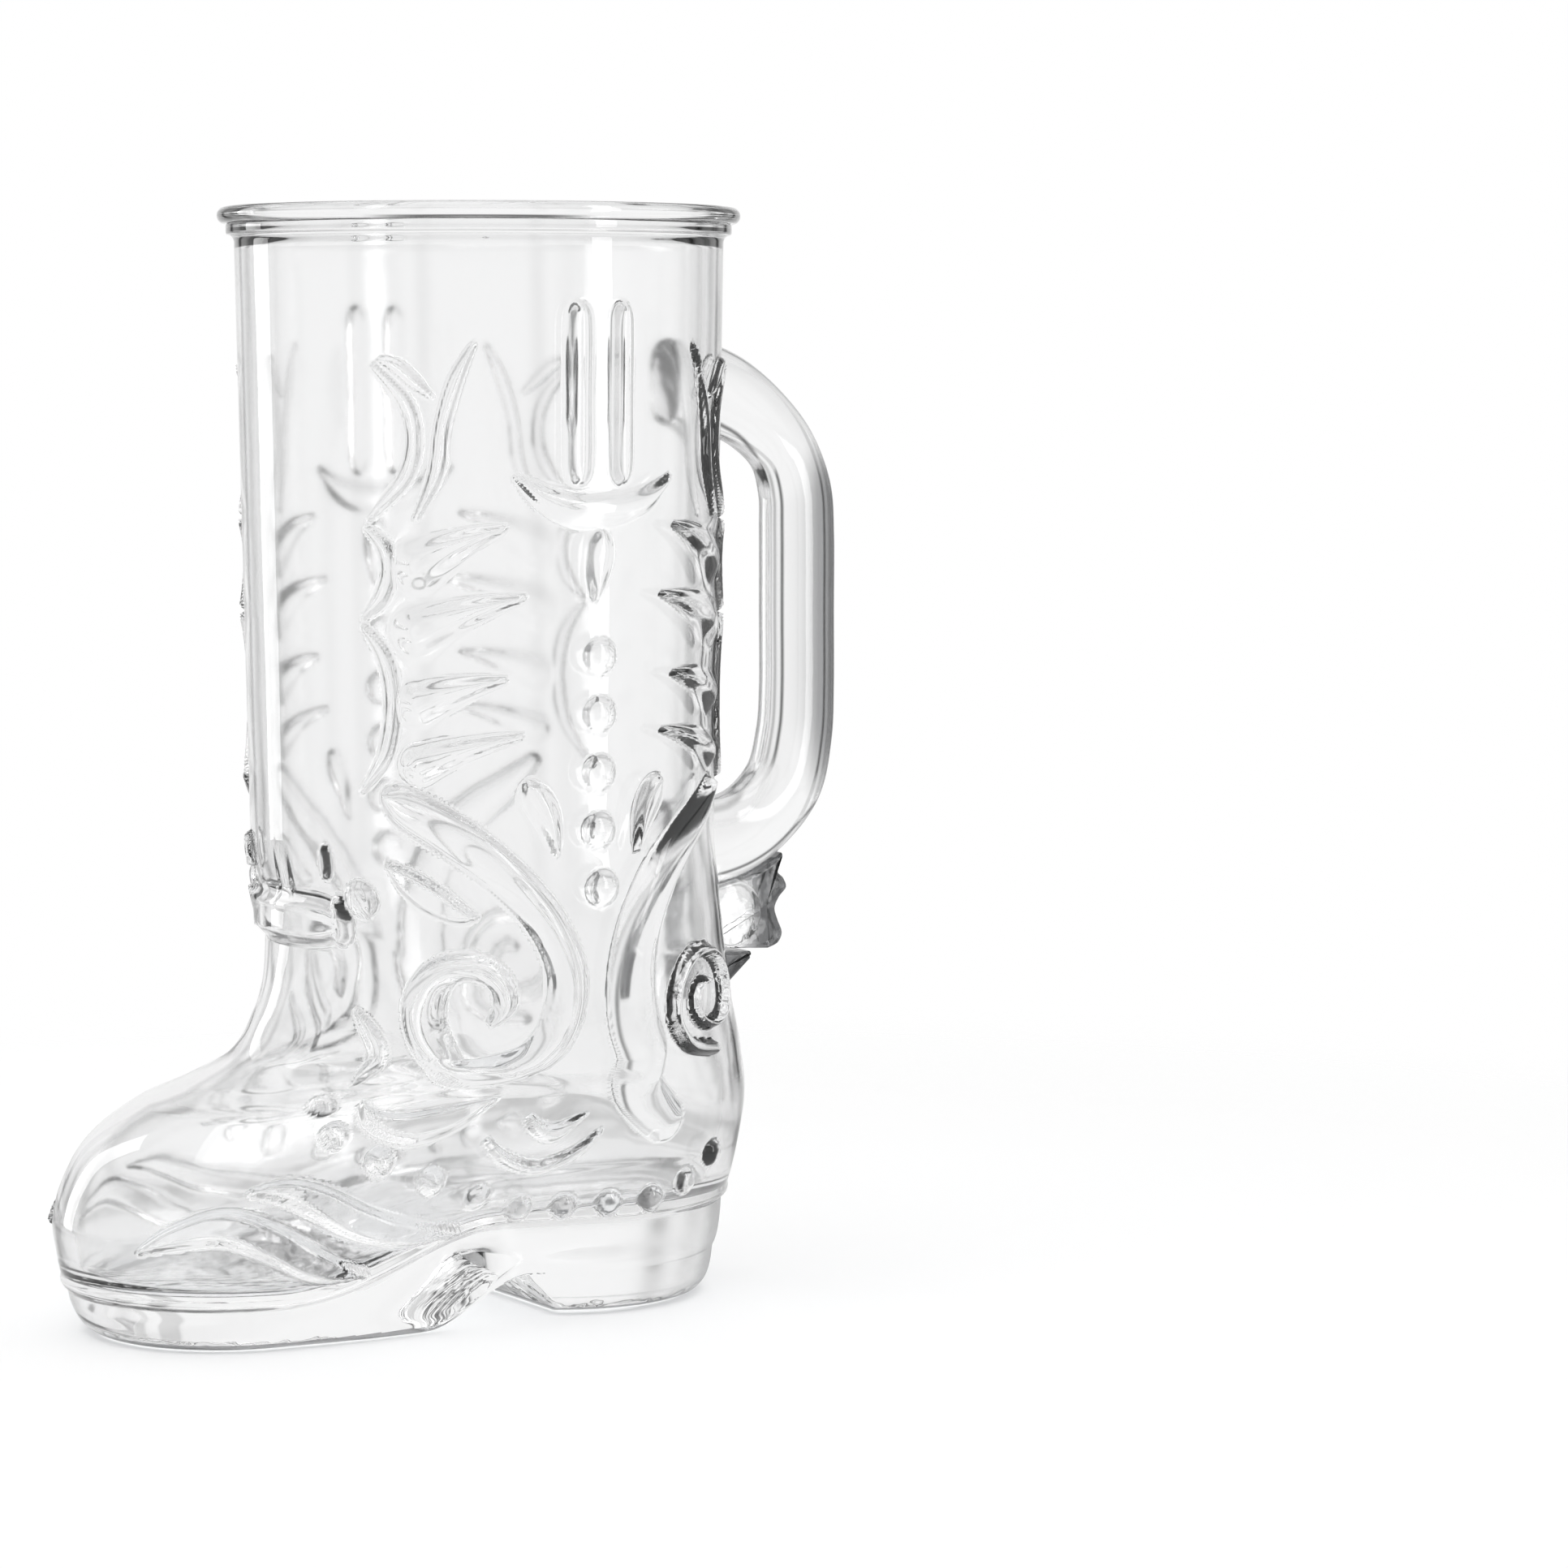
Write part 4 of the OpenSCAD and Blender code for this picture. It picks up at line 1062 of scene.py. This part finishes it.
@dataclass
class BootWall:
    """The leg, the foot and every raised piece on them."""

    shape: BootShape
    around: int = 560
    foot_rows: int = 160
    leg_rows: int = 190
    inner_around: int = 200
    inner_rows: int = 110
    inner_leg_rows: int = 40
    corner_rows: int = 10
    floor_rows: int = 12

    def inner_leg(self) -> np.ndarray:
        """The inside of the leg.

        Returns:
            Rings from the ankle to the step under the rim.
        """
        s = self.shape
        level = np.linspace(s.ankle_h, s.leg_top_h, self.inner_leg_rows)[:, None]
        a = full_turn(self.inner_around)[None]
        r = s.leg_r(level) - s.wall
        return np.stack(np.broadcast_arrays(r * np.cos(a), r * np.sin(a), level), axis=-1)

    def inner_foot(self) -> np.ndarray:
        """The inside of the foot, with the rounded corner and the floor.

        Returns:
            Rings from the ankle down to the floor's middle line.
        """
        s = self.shape
        share = np.linspace(1.0, 0.0, self.inner_rows)
        m = s.slope(share)
        height = mix(s.sole_h, s.ankle_h, share) - s.wall * m / np.sqrt(1 + m * m)
        corner_h = s.sole_h + s.floor_t + s.wall
        keep = height > corner_h
        a = np.radians(np.linspace(0, 90, self.corner_rows))
        level = np.r_[s.on_foot(share[keep]), np.full(self.corner_rows, corner_h)]
        extra = np.r_[np.zeros(keep.sum()), s.wall * (1 - np.cos(a))]
        height = np.r_[height[keep], s.sole_h + s.floor_t + s.wall * (1 - np.sin(a))]
        f = np.arange(self.inner_around) * 2.0 / self.inner_around
        rings = s.inner(f[None], level[:, None], extra[:, None], height[:, None])
        shrink = np.linspace(1.0, 0.0, self.floor_rows)[1:, None, None]
        flat = np.repeat(rings[-1:], len(shrink), axis=0)
        flat[..., 1:2] *= shrink
        return np.concatenate([rings, flat])

    def build(self, ornament: Ornament, glass: bpy.types.Material,
              inner: bpy.types.Material, footprints: list) -> list:
        """Makes the leg, the foot and the raised pieces.

        Args:
            ornament: The raised pieces.
            glass: Finish of the outside.
            inner: Finish of the inside.
            footprints: The handle's two ends.
        Returns:
            The objects made.
        """
        skin = OuterSkin(self.shape, ornament, self.around, self.foot_rows, self.leg_rows)
        labels = skin.face_labels()
        plain = (labels < 0) & ~skin.holes(footprints)
        on_leg = np.arange(len(labels))[:, None] >= skin.split
        made = []
        for node, mine, inside, own in (("leg_wall", on_leg, self.inner_leg(), False),
                                        ("foot_shell", ~on_leg, self.inner_foot(), True)):
            sheet = Sheet().grid(skin.points, True, True, plain & mine, skin.normals)
            sheet.grid(inside, True, own, finish=1)
            made.append(sheet.piece("glass_" + node, node, "wall_glass", self.shape, glass, inner))
        for k, node in enumerate(skin.NODES):
            sheet = Sheet().grid(skin.points, True, True, labels == k, skin.normals)
            made.append(sheet.piece("glass_" + node, node, "relief_glass", self.shape, glass))
        return made


@dataclass
class Rim:
    """The bead and the stepped collar at the mouth, both turned round the leg's axis."""

    shape: BootShape
    bead_h: float = 3.0
    collar_r: float = 45.9
    rim_r: float = 47.5
    lip_w: float = 5.2
    under_lip: float = 0.3
    corner_r: float = 0.35
    cove_up: float = 1.125
    around: int = 288
    # Steps round the bead, its lip, the cove and the corner, up the leg's end and down from the
    # bead's foot, and rows inside.
    arc_steps: tuple = (18, 8, 12, 4)
    low_steps: tuple = (0.0, 0.2, 0.4, 0.6, 0.8, 1.0)
    high_steps: tuple = (1.6, 1.2, 0.8)
    inside_rows: int = 25

    def lathe(self, profile: np.ndarray) -> np.ndarray:
        """Turns a profile round the leg's axis.

        Args:
            profile: Radius and height pairs.
        Returns:
            The turned grid.
        """
        r, z = profile[:, :1], profile[:, 1:]
        a = full_turn(self.around)
        return np.stack([r * np.cos(a), r * np.sin(a), np.repeat(z, self.around, axis=1)], axis=-1)

    @staticmethod
    def arc(x: float, z: float, r: float, start: float, end: float, steps: int) -> np.ndarray:
        """Part of a circle.

        Args:
            x: Middle's radius.
            z: Middle's height.
            r: Radius of the arc.
            start: First angle in degrees.
            end: Last angle in degrees.
            steps: Number of steps.
        Returns:
            Radius and height pairs.
        """
        a = np.radians(np.linspace(start, end, steps + 1))
        return np.stack([x + r * np.cos(a), z + r * np.sin(a)], axis=-1)

    def build(self, glass: bpy.types.Material) -> list:
        """Makes the bead and the collar.

        Args:
            glass: Finish.
        Returns:
            The two objects.
        """
        s = self.shape
        bead_z, lip, step = s.total_h - self.bead_h, self.rim_r - self.lip_w, self.corner_r
        foot = [(self.collar_r - self.under_lip, bead_z)]
        out_r, in_r = self.bead_h / 2, self.bead_h / 3
        out_n, in_n, cove_n, corner_n = self.arc_steps
        bead = np.concatenate([
            foot, self.arc(self.rim_r - out_r, bead_z + out_r, out_r, -90, 90, out_n),
            self.arc(lip + in_r, s.total_h - in_r, in_r, 90, 180, in_n), [(lip, bead_z)]])
        collar = np.concatenate([
            [(s.leg_top_r, s.leg_top_h + k) for k in self.low_steps],
            self.arc(self.collar_r, s.leg_top_h + self.cove_up, self.collar_r - s.leg_top_r,
                     180, 95, cove_n),
            [(self.collar_r, bead_z - k) for k in self.high_steps],
            self.arc(self.collar_r - step, bead_z - step, step, 0, 90, corner_n), foot])
        down = np.linspace(0.0, 1.0, self.inside_rows)
        inside = np.stack([mix(lip, s.leg_top_r - s.wall, ease(down)),
                           mix(bead_z, s.leg_top_h, down)], axis=-1)
        top = Sheet().grid(self.lathe(bead), True, True)
        low = Sheet().grid(self.lathe(collar), True, True).grid(self.lathe(inside), True, True)
        return [top.piece("glass_rim_bead", "rim_bead", "rim_glass", s, glass),
                low.piece("glass_rim_collar", "rim_collar", "rim_glass", s, glass)]


@dataclass
class Base:
    """The sole with its arch, and the heel block.

    EDGE has rows of depth and drawing in from the welt to the underside. HEEL has rows of the
    height, the width and how far the front face has sloped back, from the block's top to the
    table.
    """

    shape: BootShape
    heel_h: float = 8.5
    arch_front: float = 26.0
    breast_x: float = 5.0
    breast_rise: float = 0.95
    inset: float = 5.0
    heel_inset: float = 1.6
    around: int = 560
    edge_rows: int = 36
    tread_cols: int = 25
    heel_rows: int = 41
    heel_cols: int = 220
    face_cols: int = 40
    cap_shares: tuple = (0.66, 0.33, 0.0)
    EDGE = np.array([[0, 0], [0.3, 0.1], [0.6, 0.3], [0.8, 0.52], [0.93, 0.78], [1, 1]])
    HEEL = np.array([[1, 1, 1], [0.6, 0.975, 0.65], [0.3, 0.93, 0.35], [0.08, 0.85, 0.12],
                     [0, 0.76, 0]])

    def under_z(self, x: np.ndarray) -> np.ndarray:
        """Height of the underside: none under the forepart, climbing through the arch."""
        return self.heel_h * ease((x + self.arch_front) / (self.arch_front - self.breast_x))

    def ring(self, depth: float, inset: float) -> np.ndarray:
        """One ring of the sole's edge.

        Args:
            depth: Share of the way from the welt down to the underside.
            inset: Share of the full drawing in.
        Returns:
            Points round the ring.
        """
        s = self.shape
        half, side = s.fold(np.arange(self.around) * 2.0 / self.around)
        heel_x, heel_r, toe_x, toe_r = s.circles(np.zeros(1))
        x, y = s.belt(heel_x, heel_r - inset * self.heel_inset, toe_x, toe_r - inset * self.inset,
                      half)
        y = y * s.waist(x, np.full(x.shape, s.sole_h)) * side
        return np.stack([x, y, mix(s.welt_z(x), self.under_z(x), depth)], axis=-1)

    def tread(self) -> np.ndarray:
        """The underside in front of the heel block, as strips across the foot.

        Returns:
            A grid from the toe to the heel block's face.
        """
        edge = self.ring(1.0, 1.0)[:self.around // 2 + 1]
        edge = edge[np.argsort(edge[:, 0])]
        x = np.r_[edge[edge[:, 0] < -self.breast_x, 0], -self.breast_x]
        y = np.interp(x, edge[:, 0], edge[:, 1])
        y[0] = 0.0
        k = np.linspace(-1.0, 1.0, self.tread_cols)
        return np.stack(np.broadcast_arrays(x[:, None], y[:, None] * k[None],
                                            self.under_z(x)[:, None]), axis=-1)

    def heel_rings(self) -> np.ndarray:
        """The heel block from its top down to the table.

        Returns:
            Rings whose back follows the sole's edge and whose front is the sloping face.
        """
        s = self.shape
        heel_x, heel_r, _, _ = (float(v[0]) for v in s.circles(np.zeros(1)))
        rings = []
        for high, wide, slope in smooth_run(self.HEEL, self.heel_rows):
            r = (heel_r - self.heel_inset) * wide
            x0 = heel_x + (heel_r - self.heel_inset - r) / 2
            front = self.breast_rise * self.heel_h * (1 - slope) - self.breast_x
            reach = math.acos(max(-1.0, (front - x0) / r))
            a = np.linspace(-reach, reach, self.heel_cols)
            back = np.stack([x0 + r * np.cos(a), r * np.sin(a)], axis=-1)
            y = np.linspace(back[-1, 1], back[0, 1], self.face_cols + 2)[1:-1]
            flat = np.concatenate([back, np.stack([np.full(len(y), front), y], axis=-1)])
            flat[:, 1] *= s.waist(flat[:, 0], np.full(len(flat), s.sole_h))
            rings.append(np.c_[flat, np.full(len(flat), max(0.0, self.heel_h * high))])
        last = rings[-1]
        middle = np.array([last[:, 0].mean(), 0.0, 0.0])
        return np.array(rings + [middle + (last - middle) * [k, k, 1.0] for k in self.cap_shares])

    def build(self, *finishes: bpy.types.Material) -> list:
        """Makes the sole and the heel block.

        Args:
            finishes: Finishes of the sides, the underside and the edge that meets the table, the
                last being a painted contact shadow.
        Returns:
            The two objects.
        """
        edge = np.array([self.ring(d, i) for d, i in smooth_run(self.EDGE, self.edge_rows)])
        sole = Sheet().grid(edge, True, False).grid(self.tread(), False, True).mark_low()
        heel = Sheet().grid(self.heel_rings(), True, False).mark_low()
        return [sole.piece("glass_sole", "sole", "sole_glass", self.shape, *finishes),
                heel.piece("glass_heel_block", "heel_block", "sole_glass", self.shape, *finishes)]


@dataclass
class Handle:
    """The solid bar handle with its flared ends.

    LINE has rows of reach, height and width, each as a share, from the upper end to the lower.
    """

    shape: BootShape
    reach: float = 75.4
    grip_t: float = 14.2
    grip_w: float = 12.0
    top_h: float = 168.5
    low_h: float = 81.5
    squareness: float = 0.8
    sunk: float = 0.25
    covered: float = 0.93
    steps: int = 150
    around: int = 56
    LINE = np.array([
        [0, 1, 1.18], [0.32, 0.97, 1.1], [0.62, 0.92, 0.98], [0.86, 0.852, 0.92],
        [0.98, 0.765, 0.97], [1, 0.67, 1], [1, 0.5, 1], [1, 0.33, 1], [0.975, 0.225, 1.02],
        [0.88, 0.125, 1.05], [0.64, 0.05, 1.06], [0.36, 0.012, 1.12], [0, 0, 1.2]])

    def middle(self) -> tuple:
        """The middle line, its outward direction and its width share.

        Returns:
            Points x and z, directions, and shares of the section.
        """
        r = smooth_run(self.LINE, self.steps)
        z = mix(self.low_h, self.top_h, r[:, 1])
        near = self.shape.back_line(z)
        p = np.stack([mix(near, self.reach - self.grip_t / 2, r[:, 0]), z], axis=-1)
        t = unit(np.gradient(p, axis=0))
        return p, np.stack([-t[:, 1], t[:, 0]], axis=-1), r[:, 2]

    def footprints(self) -> list:
        """Middle height, half height and half width of each end on the wall, a little small."""
        return [(z, w * self.grip_t / 2 * self.covered, w * self.grip_w / 2 * self.covered)
                for z, w in ((self.top_h, self.LINE[0, 2]), (self.low_h, self.LINE[-1, 2]))]

    def build(self, glass: bpy.types.Material) -> list:
        """Sweeps the rounded section along the middle line, with its ends run to the wall.

        Args:
            glass: Finish, with a painted shade along the bar's outer edge and at grazing angles.
        Returns:
            The object made.
        """
        p, out, w = self.middle()
        a = full_turn(self.around)
        qx, qy = (np.sign(q) * np.abs(q) ** self.squareness for q in (np.cos(a), np.sin(a)))
        far = qx[None] * w[:, None] * self.grip_t / 2
        x = p[:, :1] + out[:, :1] * far
        z = p[:, 1:] + out[:, 1:] * far
        y = qy[None] * w[:, None] * self.grip_w / 2
        for end in (0, -1):
            x[end] = self.shape.back_x(y[end], z[end]) - self.sunk
        sheet = Sheet().grid(np.stack([x, y, z], axis=-1), True, False)
        return [sheet.piece("glass_handle", "handle", "handle_glass", self.shape, glass)]


@dataclass
class Spur:
    """The toothed plate, its round bosses and the wedge under it.

    TEETH has rows of reach and height up the plate's outer edge, each as a share.
    """

    shape: BootShape
    handle: Handle
    # The plate's lower edge, in thicknesses of the grip under the handle's lower end.
    drop: float = 1.45
    thick: float = 6.8
    reach: float = 64.2
    # The part of the handle's line over the plate: its first share, last point and step.
    plate_from: float = 25 / 30
    plate_to: int = -2
    plate_step: int = 3
    plate_edge: float = 0.9
    edge_rows: int = 13
    wall_rows: int = 14
    wall_drop: float = 1.0
    tooth_rows: int = 73
    # The bosses' places are shares of their width and of the plate's reach, and the wedge's
    # sizes are shares of the plate's thickness and the bosses' width.
    boss_d: float = 13.0
    boss_proud: float = 1.6
    boss_up: float = 0.56
    boss_out: float = 0.36
    boss_rows: int = 20
    boss_cols: int = 72
    boss_power: int = 5
    stub_thick: float = 1.3
    stub_edge: float = 0.7
    stub_h: float = 0.55
    stub_reach: float = 0.75
    stub_foot: float = 0.14
    stub_lip: float = 1.4
    stub_rows: int = 9
    stub_points: int = 5
    gap: float = 0.35
    seat: float = 0.12
    TEETH = np.array([[0.78, 0], [0.9, 0.05], [0.95, 0.16], [0.9, 0.3], [0.87, 0.42],
                      [0.92, 0.53], [1, 0.63], [0.97, 0.73], [0.91, 0.8], [0.93, 0.9]])

    def low(self) -> float:
        """Height of the plate's lower edge."""
        return self.handle.low_h - self.drop * self.handle.grip_t

    def outline(self) -> np.ndarray:
        """The plate's outline: up the blunt teeth, back under the handle and down the wall.

        Returns:
            Points x and z, going round once.
        """
        p, out, w = self.handle.middle()
        down = np.where(out[:, 1:] < 0, 1.0, -1.0)
        under = p + down * out * (w[:, None] * self.handle.grip_t / 2 + self.gap)
        under = under[int(self.handle.steps * self.plate_from):self.plate_to]
        z = self.low() + (under[0, 1] - self.low()) * self.TEETH[:, 1]
        back = self.shape.back_line(z)
        teeth = np.stack([mix(back, self.reach, self.TEETH[:, 0]), z], axis=-1)
        wz = np.linspace(under[-1, 1] - self.wall_drop, self.low(), self.wall_rows)
        wall = np.stack([self.shape.back_line(wz) + self.seat, wz], axis=-1)
        return np.concatenate([smooth_run(teeth, self.tooth_rows), under[::self.plate_step],
                               wall[:-1]])

    def plate(self, line: np.ndarray, thick: float, edge: float) -> np.ndarray:
        """A plate with rounded edges.

        Args:
            line: Outline, x and z.
            thick: Thickness across the boot.
            edge: Radius of the edge.
        Returns:
            Rings from one face's middle over the edge to the other face's middle.
        """
        t = unit(np.roll(line, -1, axis=0) - np.roll(line, 1, axis=0))
        out = np.stack([t[:, 1], -t[:, 0]], axis=-1)
        middle = line.mean(axis=0)
        if (out * (line - middle)).sum() < 0:
            out = -out
        face = line - out * edge - middle
        rings = [(middle + face * k, -thick / 2) for k in (0.0, 0.5)]
        rings += [(line - out * edge * (1 - math.cos(a)),
                   (thick / 2 - edge) * np.sign(a) + edge * math.sin(a))
                  for a in np.radians(np.linspace(-90, 90, self.edge_rows))]
        rings += [(middle + face * k, thick / 2) for k in (0.5, 0.0)]
        return np.array([np.c_[p[:, 0], np.full(len(p), y), p[:, 1]] for p, y in rings])

    def boss(self, side: float) -> np.ndarray:
        """A round boss with a soft edge on one face of the plate.

        Args:
            side: 1 or -1.
        Returns:
            Rings from the middle out and down to the plate.
        """
        z = self.low() + self.boss_d * self.boss_up
        x = mix(float(self.shape.back_line(np.array([z]))[0]), self.reach, self.boss_out)
        t = np.linspace(0.0, 1.0, self.boss_rows)[:, None]
        a = full_turn(self.boss_cols)[None]
        r = self.boss_d / 2 * t
        h = self.boss_proud * np.sqrt(np.clip(1 - t ** self.boss_power, 0.0, 1.0))
        return np.stack(np.broadcast_arrays(x + r * np.cos(a), side * (self.thick / 2 + h),
                                            z + r * np.sin(a)), axis=-1)

    def stub(self) -> np.ndarray:
        """Outline of the wedge that carries the spur.

        Returns:
            Points x and z.
        """
        top = self.low() - self.seat
        low = top - self.boss_d * self.stub_h
        z = np.linspace(top, low, self.stub_rows)
        wall = np.stack([self.shape.back_line(z) + self.seat, z], axis=-1)
        reach = float(self.shape.back_line(np.array([top]))[0]) + self.boss_d * self.stub_reach
        tip = np.array([[wall[-1, 0] + self.boss_d * self.stub_foot, low],
                        [reach, top - self.stub_lip], [reach, top]])
        line = np.concatenate([wall, tip])
        return np.concatenate([np.linspace(a, b, self.stub_points)[:-1]
                               for a, b in zip(line, np.roll(line, -1, axis=0))])

    def build(self, glass: bpy.types.Material, toothed: bpy.types.Material,
              dark: bpy.types.Material) -> list:
        """Makes the plate, the bosses and the wedge.

        Args:
            glass: Finish of the bosses.
            toothed: Finish of the plate, with a painted shade along its toothed outer edge.
            dark: Finish of the wedge, a painted shade that makes it dark all over.
        Returns:
            The three objects.
        """
        s = self.shape
        plate = Sheet().grid(self.plate(self.outline(), self.thick, self.plate_edge), True, False)
        boss = Sheet().grid(self.boss(-1.0), True, False).grid(self.boss(1.0), True, True)
        stub = Sheet().grid(self.plate(self.stub(), self.thick * self.stub_thick, self.stub_edge),
                            True, False)
        return [plate.piece("glass_spur_rowel", "spur_rowel", "handle_glass", s, toothed),
                boss.piece("glass_spur_bosses", "spur_bosses", "handle_glass", s, glass),
                stub.piece("glass_spur_stub", "spur_stub", "handle_glass", s, dark)]


@dataclass
class Studio:
    """White surroundings with dark strips that draw the edges of clear glass.

    Lengths are in metres. The surroundings are tones by direction. The strips stand a quarter
    turn apart, each with its angle from the quarter's middle, half width, softness and tone. The
    ring has the same four values by height, which is -1 straight down and 1 straight up. Pairs
    are the heights between which the tone goes from that below to that behind, the strips fade
    out upward and downward, and all gives way to white overhead.
    """

    turn: float = 28.7
    floor_size: float = 1.2
    floor_drop: float = 0.0003
    daylight: float = 0.76
    behind: float = 0.96
    below: float = 0.84
    below_at: tuple = (-0.4, 0.02)
    overhead_at: tuple = (0.56, 0.75)
    strips: tuple = ((28.5, 2.6, 2.6, 0.12), (43.5, 2.4, 3.0, 0.5))
    strips_left: float = 0.72
    strips_fade: tuple = (0.0, 0.12)
    strips_under: tuple = (-0.3, -0.12)
    ring: tuple = (0.47, 0.045, 0.045, 0.15)
    quarter: float = 90.0
    aim_h: float = 0.1
    box_far: float = 1.1
    box_up: float = 0.45

    def build(self) -> None:
        """Makes the floor, the surroundings and the lamps."""
        s = self.floor_size / 2
        mesh = bpy.data.meshes.new("studio_floor")
        mesh.from_pydata([(-s, -s, 0), (s, -s, 0), (s, s, 0), (-s, s, 0)], [], [(0, 1, 2, 3)])
        mesh.materials.append(FloorFinish().build())
        mesh.transform(Matrix.Translation((0.0, 0.0, -self.floor_drop)))
        floor = bpy.data.objects.new("studio_floor", mesh)
        bpy.context.scene.collection.objects.link(floor)
        self.world()
        self.lamp("box_right", self.beside(58.0), (0.22, 1.1), 3.2, True)
        self.lamp("box_left", self.beside(-122.0), (0.3, 1.1), 3.2, False)
        self.lamp("box_top", (-0.2, -0.2, 1.5), (0.9, 0.9), 5.0, True)

    def beside(self, turn: float) -> tuple:
        """A lamp's place, by its degrees to the right of the camera's side."""
        a = math.radians(180 + self.turn - turn)
        return self.box_far * math.sin(a), self.box_far * math.cos(a), self.box_up

    def lamp(self, name: str, place: tuple, size: tuple, watts: float, through: bool) -> None:
        """A soft lamp aimed at the glass.

        Args:
            name: Name of the lamp.
            place: Position.
            size: Width and height.
            watts: Power.
            through: Whether it is seen through the glass.
        """
        data = bpy.data.lights.new(name, "AREA")
        data.shape = "RECTANGLE"
        data.size, data.size_y = size
        data.energy = watts
        lamp = bpy.data.objects.new(name, data)
        lamp.location = place
        ahead = Vector((0, 0, self.aim_h)) - Vector(place)
        lamp.rotation_euler = ahead.to_track_quat("-Z", "Y").to_euler()
        lamp.visible_camera = False
        lamp.visible_transmission = through
        bpy.context.scene.collection.objects.link(lamp)

    @staticmethod
    def line(across: Ink, at: float, half: float, soft: float, dark: float) -> Ink:
        """A dark line in the surroundings.

        Args:
            across: Where a direction lies across the line.
            at: Middle of the line.
            half: Half of its width.
            soft: Half of the width of its soft edge.
            dark: Tone inside the line.
        Returns:
            The tone, 1 outside.
        """
        return abs(across - at).between(half - soft, half + soft, dark, 1.0)

    def world(self) -> None:
        """White for the camera; for light seen in the glass, greyer with dark upright strips."""
        world = bpy.data.worlds.new("studio")
        bpy.context.scene.world = world
        nodes = Nodes(world)
        _, x, y, z = nodes.place("Generated")
        around = x.angle(y) * (180 / math.pi) + (360.0 + self.quarter / 2 - self.turn)
        across = abs(around % self.quarter - self.quarter / 2)
        tone = self.line(z, *self.ring)
        left = z.between(*self.strips_fade, 0.0, self.strips_left)
        left = left.top(z.between(*self.strips_under, self.strips_left, 0.0))
        for strip in self.strips:
            tone = tone * self.line(across, *strip).top(left)
        tone = tone.top(z.between(*self.overhead_at))
        tone = tone * z.between(*self.below_at, self.below, self.behind)
        path = nodes.add("ShaderNodeLightPath", {}, {})
        seen = path["Is Glossy Ray"].top(path["Is Transmission Ray"])
        patterned, light, plain = (
            nodes.add("ShaderNodeBackground", {}, {0: (1.0, 1.0, 1.0, 1.0), 1: strength})
            for strength in (tone, self.daylight, 1.0))
        both = nodes.blend(path["Is Camera Ray"], nodes.blend(seen, light, patterned), plain)
        nodes.add("ShaderNodeOutputWorld", {}, {"Surface": both})


@dataclass
class PhotoCamera:
    """The photograph's camera, fitted to the measured outline."""

    focal_px: float = 5997.9
    turn: float = 28.668
    distance: float = 892.63
    height: float = 173.11
    yaw: float = 3.5591
    pitch: float = 5.0193
    photo_px: float = 1932.0
    sensor: float = 36.0

    def build(self, shape: BootShape) -> bpy.types.Object:
        """Makes the camera.

        Args:
            shape: The boot, for the leg's place in the row's frame.
        Returns:
            The camera object.
        """
        a = math.radians(self.turn)
        b, p = a + math.radians(self.yaw), math.radians(self.pitch)
        data = bpy.data.cameras.new("photo_camera")
        data.sensor_width = self.sensor
        data.lens = self.focal_px / self.photo_px * self.sensor
        cam = bpy.data.objects.new("photo_camera", data)
        cam.location = Vector((-math.sin(a) * self.distance + shape.middle_x,
                               -math.cos(a) * self.distance, self.height)) * MM
        ahead = Vector((math.sin(b) * math.cos(p), math.cos(b) * math.cos(p), -math.sin(p)))
        cam.rotation_euler = ahead.to_track_quat("-Z", "Y").to_euler()
        bpy.context.scene.collection.objects.link(cam)
        bpy.context.scene.camera = cam
        return cam


def main() -> None:
    """Builds the glass piece by piece, then the studio and the camera."""
    logging.basicConfig(level=logging.INFO, format="%(message)s")
    bpy.context.scene.view_settings.view_transform = "Standard"
    shape = BootShape()
    handle = Handle(shape)
    # Every glass finish darkens its colour at grazing angles, a painted shade; some also paint dark
    # parts.
    clear, bar, sole, stub, tread, inner, edge, spur = (finish.build() for finish in (
        GlassFinish("clear_glass"),
        # Painted shade: a near-black colour at grazing angles and a dark band along the bar's outer
        # edge.
        GlassFinish("bar_glass_painted_shade", edge=(0.2, 0.202, 0.206, 1.0), grazing_shade_at=(0.3, 1.0),
                    wave=(20.0, 0.0002), dark=(0.13, 0.132, 0.136, 1.0),
                    painted_shade_at=(0.0736, 0.0776), painted_shade_rough=0.0, rough=0.07),
        # Painted shade: a near-black colour at grazing angles draws the sole's and heel's edges
        # dark.
        GlassFinish("sole_glass", edge=(0.16, 0.162, 0.165, 1.0), grazing_shade_at=(0.55, 0.95),
                    rough=0.25),
        # Painted shade: the wedge's glass is dark all over.
        GlassFinish("stub_glass_painted_shade", painted_shade_at=(0.0, 0.01)),
        GlassFinish("tread_glass", edge=(0.6, 0.602, 0.605, 1.0), ripple=(260.0, 0.0006)),
        GlassFinish("inner_glass", rough=0.1, rough_at=(-0.2, -0.1)),
        # Painted contact shadow: the edge that meets the table is dark all over.
        GlassFinish("painted_contact_shadow_glass", painted_shade_at=(-0.2, -0.1)),
        # Painted shade: a dark band along the plate's toothed outer edge.
        GlassFinish("spur_glass_painted_edge_shade", ripple=(420.0, 0.0002), painted_shade_at=(0.0595, 0.0625))))
    made = BootWall(shape).build(Ornament(shape), clear, inner, handle.footprints())
    made += Rim(shape).build(clear)
    made += Base(shape).build(sole, tread, edge)
    made += handle.build(bar)
    made += Spur(shape, handle).build(clear, spur, stub)
    for obj in made:
        log.info("%s: %d faces", obj.name, len(obj.data.polygons))
    Studio().build()
    PhotoCamera().build(shape)


if __name__ == "__main__":
    main()
